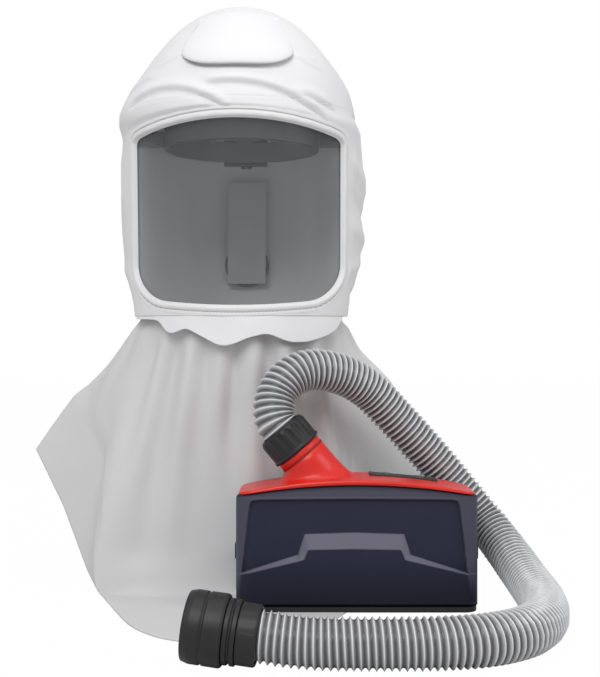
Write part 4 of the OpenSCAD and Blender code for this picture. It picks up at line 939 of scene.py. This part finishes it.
def cover_inward(x, z):
    """How far a place lies inside the sunk field's outline, whose sides lean and upper corners are round."""
    to_side = mix(106.7, 98.5, (z - 38.4) / 69.4) - np.abs(x - RELIEF_MID)
    to_top = 108.4 - 0.9 * ((x - RELIEF_MID) / 100) ** 2 - z
    return -2.2 * np.logaddexp(-to_side / 2.2, -to_top / 2.2)


def ledge(x):
    """The heights of the ledge's upper and lower edge, along the lines through their points."""
    aside = np.abs(x - RELIEF_MID)
    return np.interp(aside, *LEDGE_TOP.T), np.interp(aside, *LEDGE_FOOT.T)


def cover_depth(x, z):
    """How far the cover's face lies behind its foremost level: nothing in the lower field, a ramp over
    the ledge, and above it the border and the deeper sunk field with rounded upper corners."""
    high, low = ledge(x)
    over = np.clip((z - low) / (high - low), 0, 1)
    inward = cover_inward(x, z)
    border = 2.4 * ease((z - 38) / 22) + 1.4 * ease((-inward - 2) / 9)
    lip = -0.7 * np.exp(-(((inward + 0.9) / 1.1) ** 2)) * ease((z - 40) / 12)
    return mix(border + lip, 5.2, ease(inward / 1.5)) * over * ease(np.minimum(x, BLOWER_W - x) / 8)


COVER_ROWS, COVER_COLS = 156, 250
LEDGE_EDGE = 0.8
corner_t = np.linspace(math.asin(1 - COVER_DEPTH / BLOWER_CORNER), math.pi / 2, 16)
corner_x, corner_y = BLOWER_CORNER * (1 - np.cos(corner_t)), BLOWER_CORNER * (1 - np.sin(corner_t))
flat_x = np.linspace(BLOWER_CORNER, BLOWER_W - BLOWER_CORNER, COVER_COLS)[1:-1]
cover_x = np.concatenate([corner_x, flat_x, BLOWER_W - corner_x[::-1]])
cover_y = BLOWER_FRONT + np.concatenate([corner_y, 0 * flat_x, corner_y[::-1]])
cover_top = under_ends(cover_x, crowned(cover_x, PART_LINE)) - COVER_GAP
barrel_t = np.radians(np.linspace(-70, 0, 12, endpoint=False))[:, None]
face_z = mix(HINGE_Z, cover_top - COVER_ROLL, np.linspace(0, 1, COVER_ROWS)[:, None])
face_y = cover_y + cover_depth(cover_x, face_z)
roll_t = np.radians(np.linspace(0, 90, 8))[1:, None]
cover_z = np.concatenate([HINGE_Z + BARREL_R * np.sin(barrel_t) + 0 * cover_x, face_z,
                          cover_top - COVER_ROLL * (1 - np.sin(roll_t)), cover_top[None]])
back_y = np.minimum(face_y[-1] + 6, BLOWER_FRONT + COVER_DEPTH)
roll_y = np.minimum(face_y[-1] + COVER_ROLL * (1 - np.cos(roll_t)), back_y)
cover_rows_y = np.concatenate([cover_y + BARREL_R * (1 - np.cos(barrel_t)), face_y, roll_y, back_y[None]])
cover_points = np.stack([np.broadcast_to(cover_x, cover_z.shape), cover_rows_y, cover_z], -1)
# The ledge band, and more faintly the border, are marked for a lighter colour: painted light, as if these
# faces caught the lamps from above.
ledge_high, ledge_low = ledge(cover_x)
over_foot = np.clip((face_z - ledge_low) / LEDGE_EDGE + 0.5, 0, 1)
under_top = np.clip((ledge_high - face_z) / LEDGE_EDGE + 0.5, 0, 1)
on_border = (1 - ease(cover_inward(cover_x, face_z) + 0.6)) * ease((face_z - 12) / 30)
on_face = slice(len(barrel_t), len(barrel_t) + COVER_ROWS)
cover_painted_light = np.zeros(cover_z.shape)
cover_painted_light[on_face] = np.maximum(0.95 * over_foot * under_top, 0.34 * on_border)
cover = thicken(surface("navy_cover", (cover_points + BLOWER_AT) * MM, flip=True), COVER_WALL)
navy_finish = moulded("navy moulded plastic", (0.018, 0.0195, 0.040), (0.024, 0.026, 0.050), 0.38, 1500, 0.14,
                      blotches=22, uneven=0.14, gloss=0.22)
# The cover's colour is painted darker towards its foot: painted shade over the lower field.
navy_painted_shade = navy_finish.blend(navy_finish.kept("foot") * 0.8, navy_finish.colour, (0.003, 0.0035, 0.011))
# The base colour is lighter on the ledge band and the border: painted light.
navy_finish.put("Base Color", navy_finish.blend(navy_finish.kept("painted_light"), navy_painted_shade, (0.134, 0.131, 0.174)))
mark(cover, "painted_light", cover_painted_light)
mark(cover, "foot", 1 - ease((cover_z - 8) / 55))
dress(cover, navy_finish, "cover", ("filter_cover",))

# Outlet collar: a black moulded collar with wide flutes for the fingers. It is clipped on the neck,
# turns there, and takes the hose's end.
COLLAR_R, COLLAR_BORE, COLLAR_AT = 25, 21.6, OUTLET_LEN + 0.3
COLLAR_END = COLLAR_AT + 26
collar = lathe("collar_turned", rounded(
    [(COLLAR_BORE, COLLAR_AT + 0.1), (COLLAR_R + 0.4, COLLAR_AT), (COLLAR_R + 1, COLLAR_AT + 1),
     (COLLAR_R + 1, COLLAR_AT + 2.5), (COLLAR_R, COLLAR_AT + 3.4), (COLLAR_R, COLLAR_END - 4),
     (COLLAR_R - 2, COLLAR_END), (COLLAR_BORE, COLLAR_END)], 1.2, 5),
    (OUTLET_FOOT + BLOWER_AT) * MM, OUTLET_AXIS, 320,
    flutes(16, 1.9, COLLAR_AT + 4.5, COLLAR_END - 3.5, COLLAR_R))
dress(collar, black_finish, "collar", ("outlet_collar",))

# Blower casing and its fittings: navy rear shell, black base, belt loops and side latches, a soft-touch
# key pad on the top, steel pin and screws. Inside are the filter, fan, motor, board and battery.


def finish_nodes(finish, *names):
    """Gives nodes whose shape stays the finish of their material."""
    for name in names:
        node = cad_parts[name]
        if not node.material_slots:
            node.data.materials.append(finish.material)
        for place in node.material_slots:
            place.material = finish.material


finish_nodes(navy_finish, "rear_casing")
finish_nodes(black_finish, "base_plate", "belt_loops", "latch_left", "latch_right", "fan_housing", "impeller",
             "battery")
finish_nodes(moulded("key pad", (0.030, 0.028, 0.030), (0.045, 0.042, 0.044), 0.5, 900), "control_panel")
finish_nodes(moulded("key rubber", (0.10, 0.10, 0.105), (0.13, 0.13, 0.135), 0.6, 1200),
             "power_button", "mode_button")
finish_nodes(moulded("seal rubber", (0.016, 0.016, 0.017), (0.026, 0.026, 0.027), 0.62, 1600),
             "connector_seal", "filter_gasket")
# The seal ring that fills the neck's groove is painted a darker red than the top, as painted shade of the
# groove.
finish_nodes(moulded("red seal painted groove shade", (0.22, 0.010, 0.008), (0.28, 0.014, 0.010), 0.5, 1600), "outlet_ring")
finish_nodes(moulded("steel", (0.42, 0.42, 0.43), (0.52, 0.52, 0.53), 0.24, 2600, 0.05, metallic=1.0),
             "hinge_pin", "casing_screws", "motor", "motor_shaft")
finish_nodes(moulded("filter fleece", (0.66, 0.67, 0.66), (0.76, 0.77, 0.76), 0.8, 700, 0.4),
             "filter", "prefilter")
finish_nodes(moulded("board", (0.012, 0.085, 0.035), (0.020, 0.12, 0.05), 0.4, 500, 0.2), "circuit_board")

# Head harness: a plastic band with two crossing straps, held in the hood by a hanger at each side.
# A foam sweatband lines its front, and a ratchet at its back sets its size.
# Behind it the air inlet and its duct are fixed to the hood's back.
finish_nodes(moulded("harness plastic", (0.10, 0.105, 0.11), (0.14, 0.145, 0.15), 0.48, 800),
             "headband", "crown_straps", "side_hangers")
finish_nodes(black_finish, "ratchet_housing", "ratchet_knob", "inlet_spigot", "inlet_nut")
finish_nodes(moulded("duct plastic", (0.40, 0.41, 0.42), (0.47, 0.48, 0.49), 0.42, 900), "air_duct")

BAND_Z, BAND_W, BAND_R, SWEAT_T, SWEAT_OVER, SWEAT_HALF = 470, 24, 84, 5, 2, 75
sweat_a = np.linspace(-SWEAT_HALF, SWEAT_HALF, 150)[:, None]
SWEAT_LOW, SWEAT_HIGH = BAND_Z - SWEAT_OVER, BAND_Z + BAND_W + SWEAT_OVER
sweat_loop = rounded([(BAND_R - 0.4, SWEAT_LOW), (BAND_R - 0.4, SWEAT_HIGH),
                      (BAND_R - SWEAT_T, SWEAT_HIGH), (BAND_R - SWEAT_T, SWEAT_LOW)], 2.4, 8)
sweat_end = np.sqrt(np.clip(1 - (np.abs(sweat_a) / SWEAT_HALF) ** 24, 0, 1))
sweat_mid = sweat_loop.mean(0)
sweat_r = sweat_mid[0] + (sweat_loop[None, :, 0] - sweat_mid[0]) * (0.25 + 0.75 * sweat_end)
sweat_z = sweat_mid[1] + (sweat_loop[None, :, 1] - sweat_mid[1]) * (0.4 + 0.6 * sweat_end)
sweat_r = sweat_r + 0.25 * np.sin(np.radians(sweat_a * 30)) * (sweat_loop[None, :, 0] < BAND_R - 3)
sweatband = surface("sweatband_foam", polar(sweat_r, sweat_a, sweat_z) * MM, close=(False, True), flip=True)
foam_finish = moulded("sweatband foam", (0.035, 0.035, 0.038), (0.055, 0.055, 0.058), 0.8, 600, 0.5)
dress(sweatband, foam_finish, instead=("sweatband",))

# Neck elastic: a narrow woven band, sewn into the hood's neck casing. It is drawn up there into
# small ripples.
ELASTIC_W, ELASTIC_T = 8, 2
elastic_a = np.linspace(-180, 180, 540, endpoint=False)[:, None]
elastic_loop = rounded([(0, 0), (0, ELASTIC_W), (-ELASTIC_T, ELASTIC_W), (-ELASTIC_T, 0)], 0.7, 4)
elastic_r = NECK_R - CLOTH - 0.5 + elastic_loop[None, :, 0] - 0.25 - 0.25 * np.sin(np.radians(elastic_a * 60))
elastic_z = NECK_Z - 0.4 - ELASTIC_W + elastic_loop[None, :, 1]
elastic = surface("elastic_band", polar(elastic_r, elastic_a, elastic_z) * MM, close=(True, True), flip=True)
elastic_finish = moulded("elastic", (0.52, 0.52, 0.53), (0.60, 0.60, 0.61), 0.75, 1500, 0.5)
dress(elastic, elastic_finish, instead=("neck_elastic",))

# Visor: one clear polycarbonate sheet, bent round and held behind the face panel. It passes most light,
# and mirrors the room at a slant.
visor_finish = Finish("clear visor sheet", roughness=0.04, specular_ior_level=0.5)
visor_finish.put("Base Color", (0.75, 0.77, 0.78))
pass_light = visor_finish.node("BsdfTransparent", None, {"Color": (0.935, 0.94, 0.94)})
mirror = visor_finish.node("LayerWeight", None, {"Blend": 0.5}, out=1) ** 4
haze = 0.03 + 0.03 * visor_finish.noise(9, 4)
visor_finish.show(mirror * 0.5 + haze, pass_light, visor_finish.plain)
finish_nodes(visor_finish, "visor")
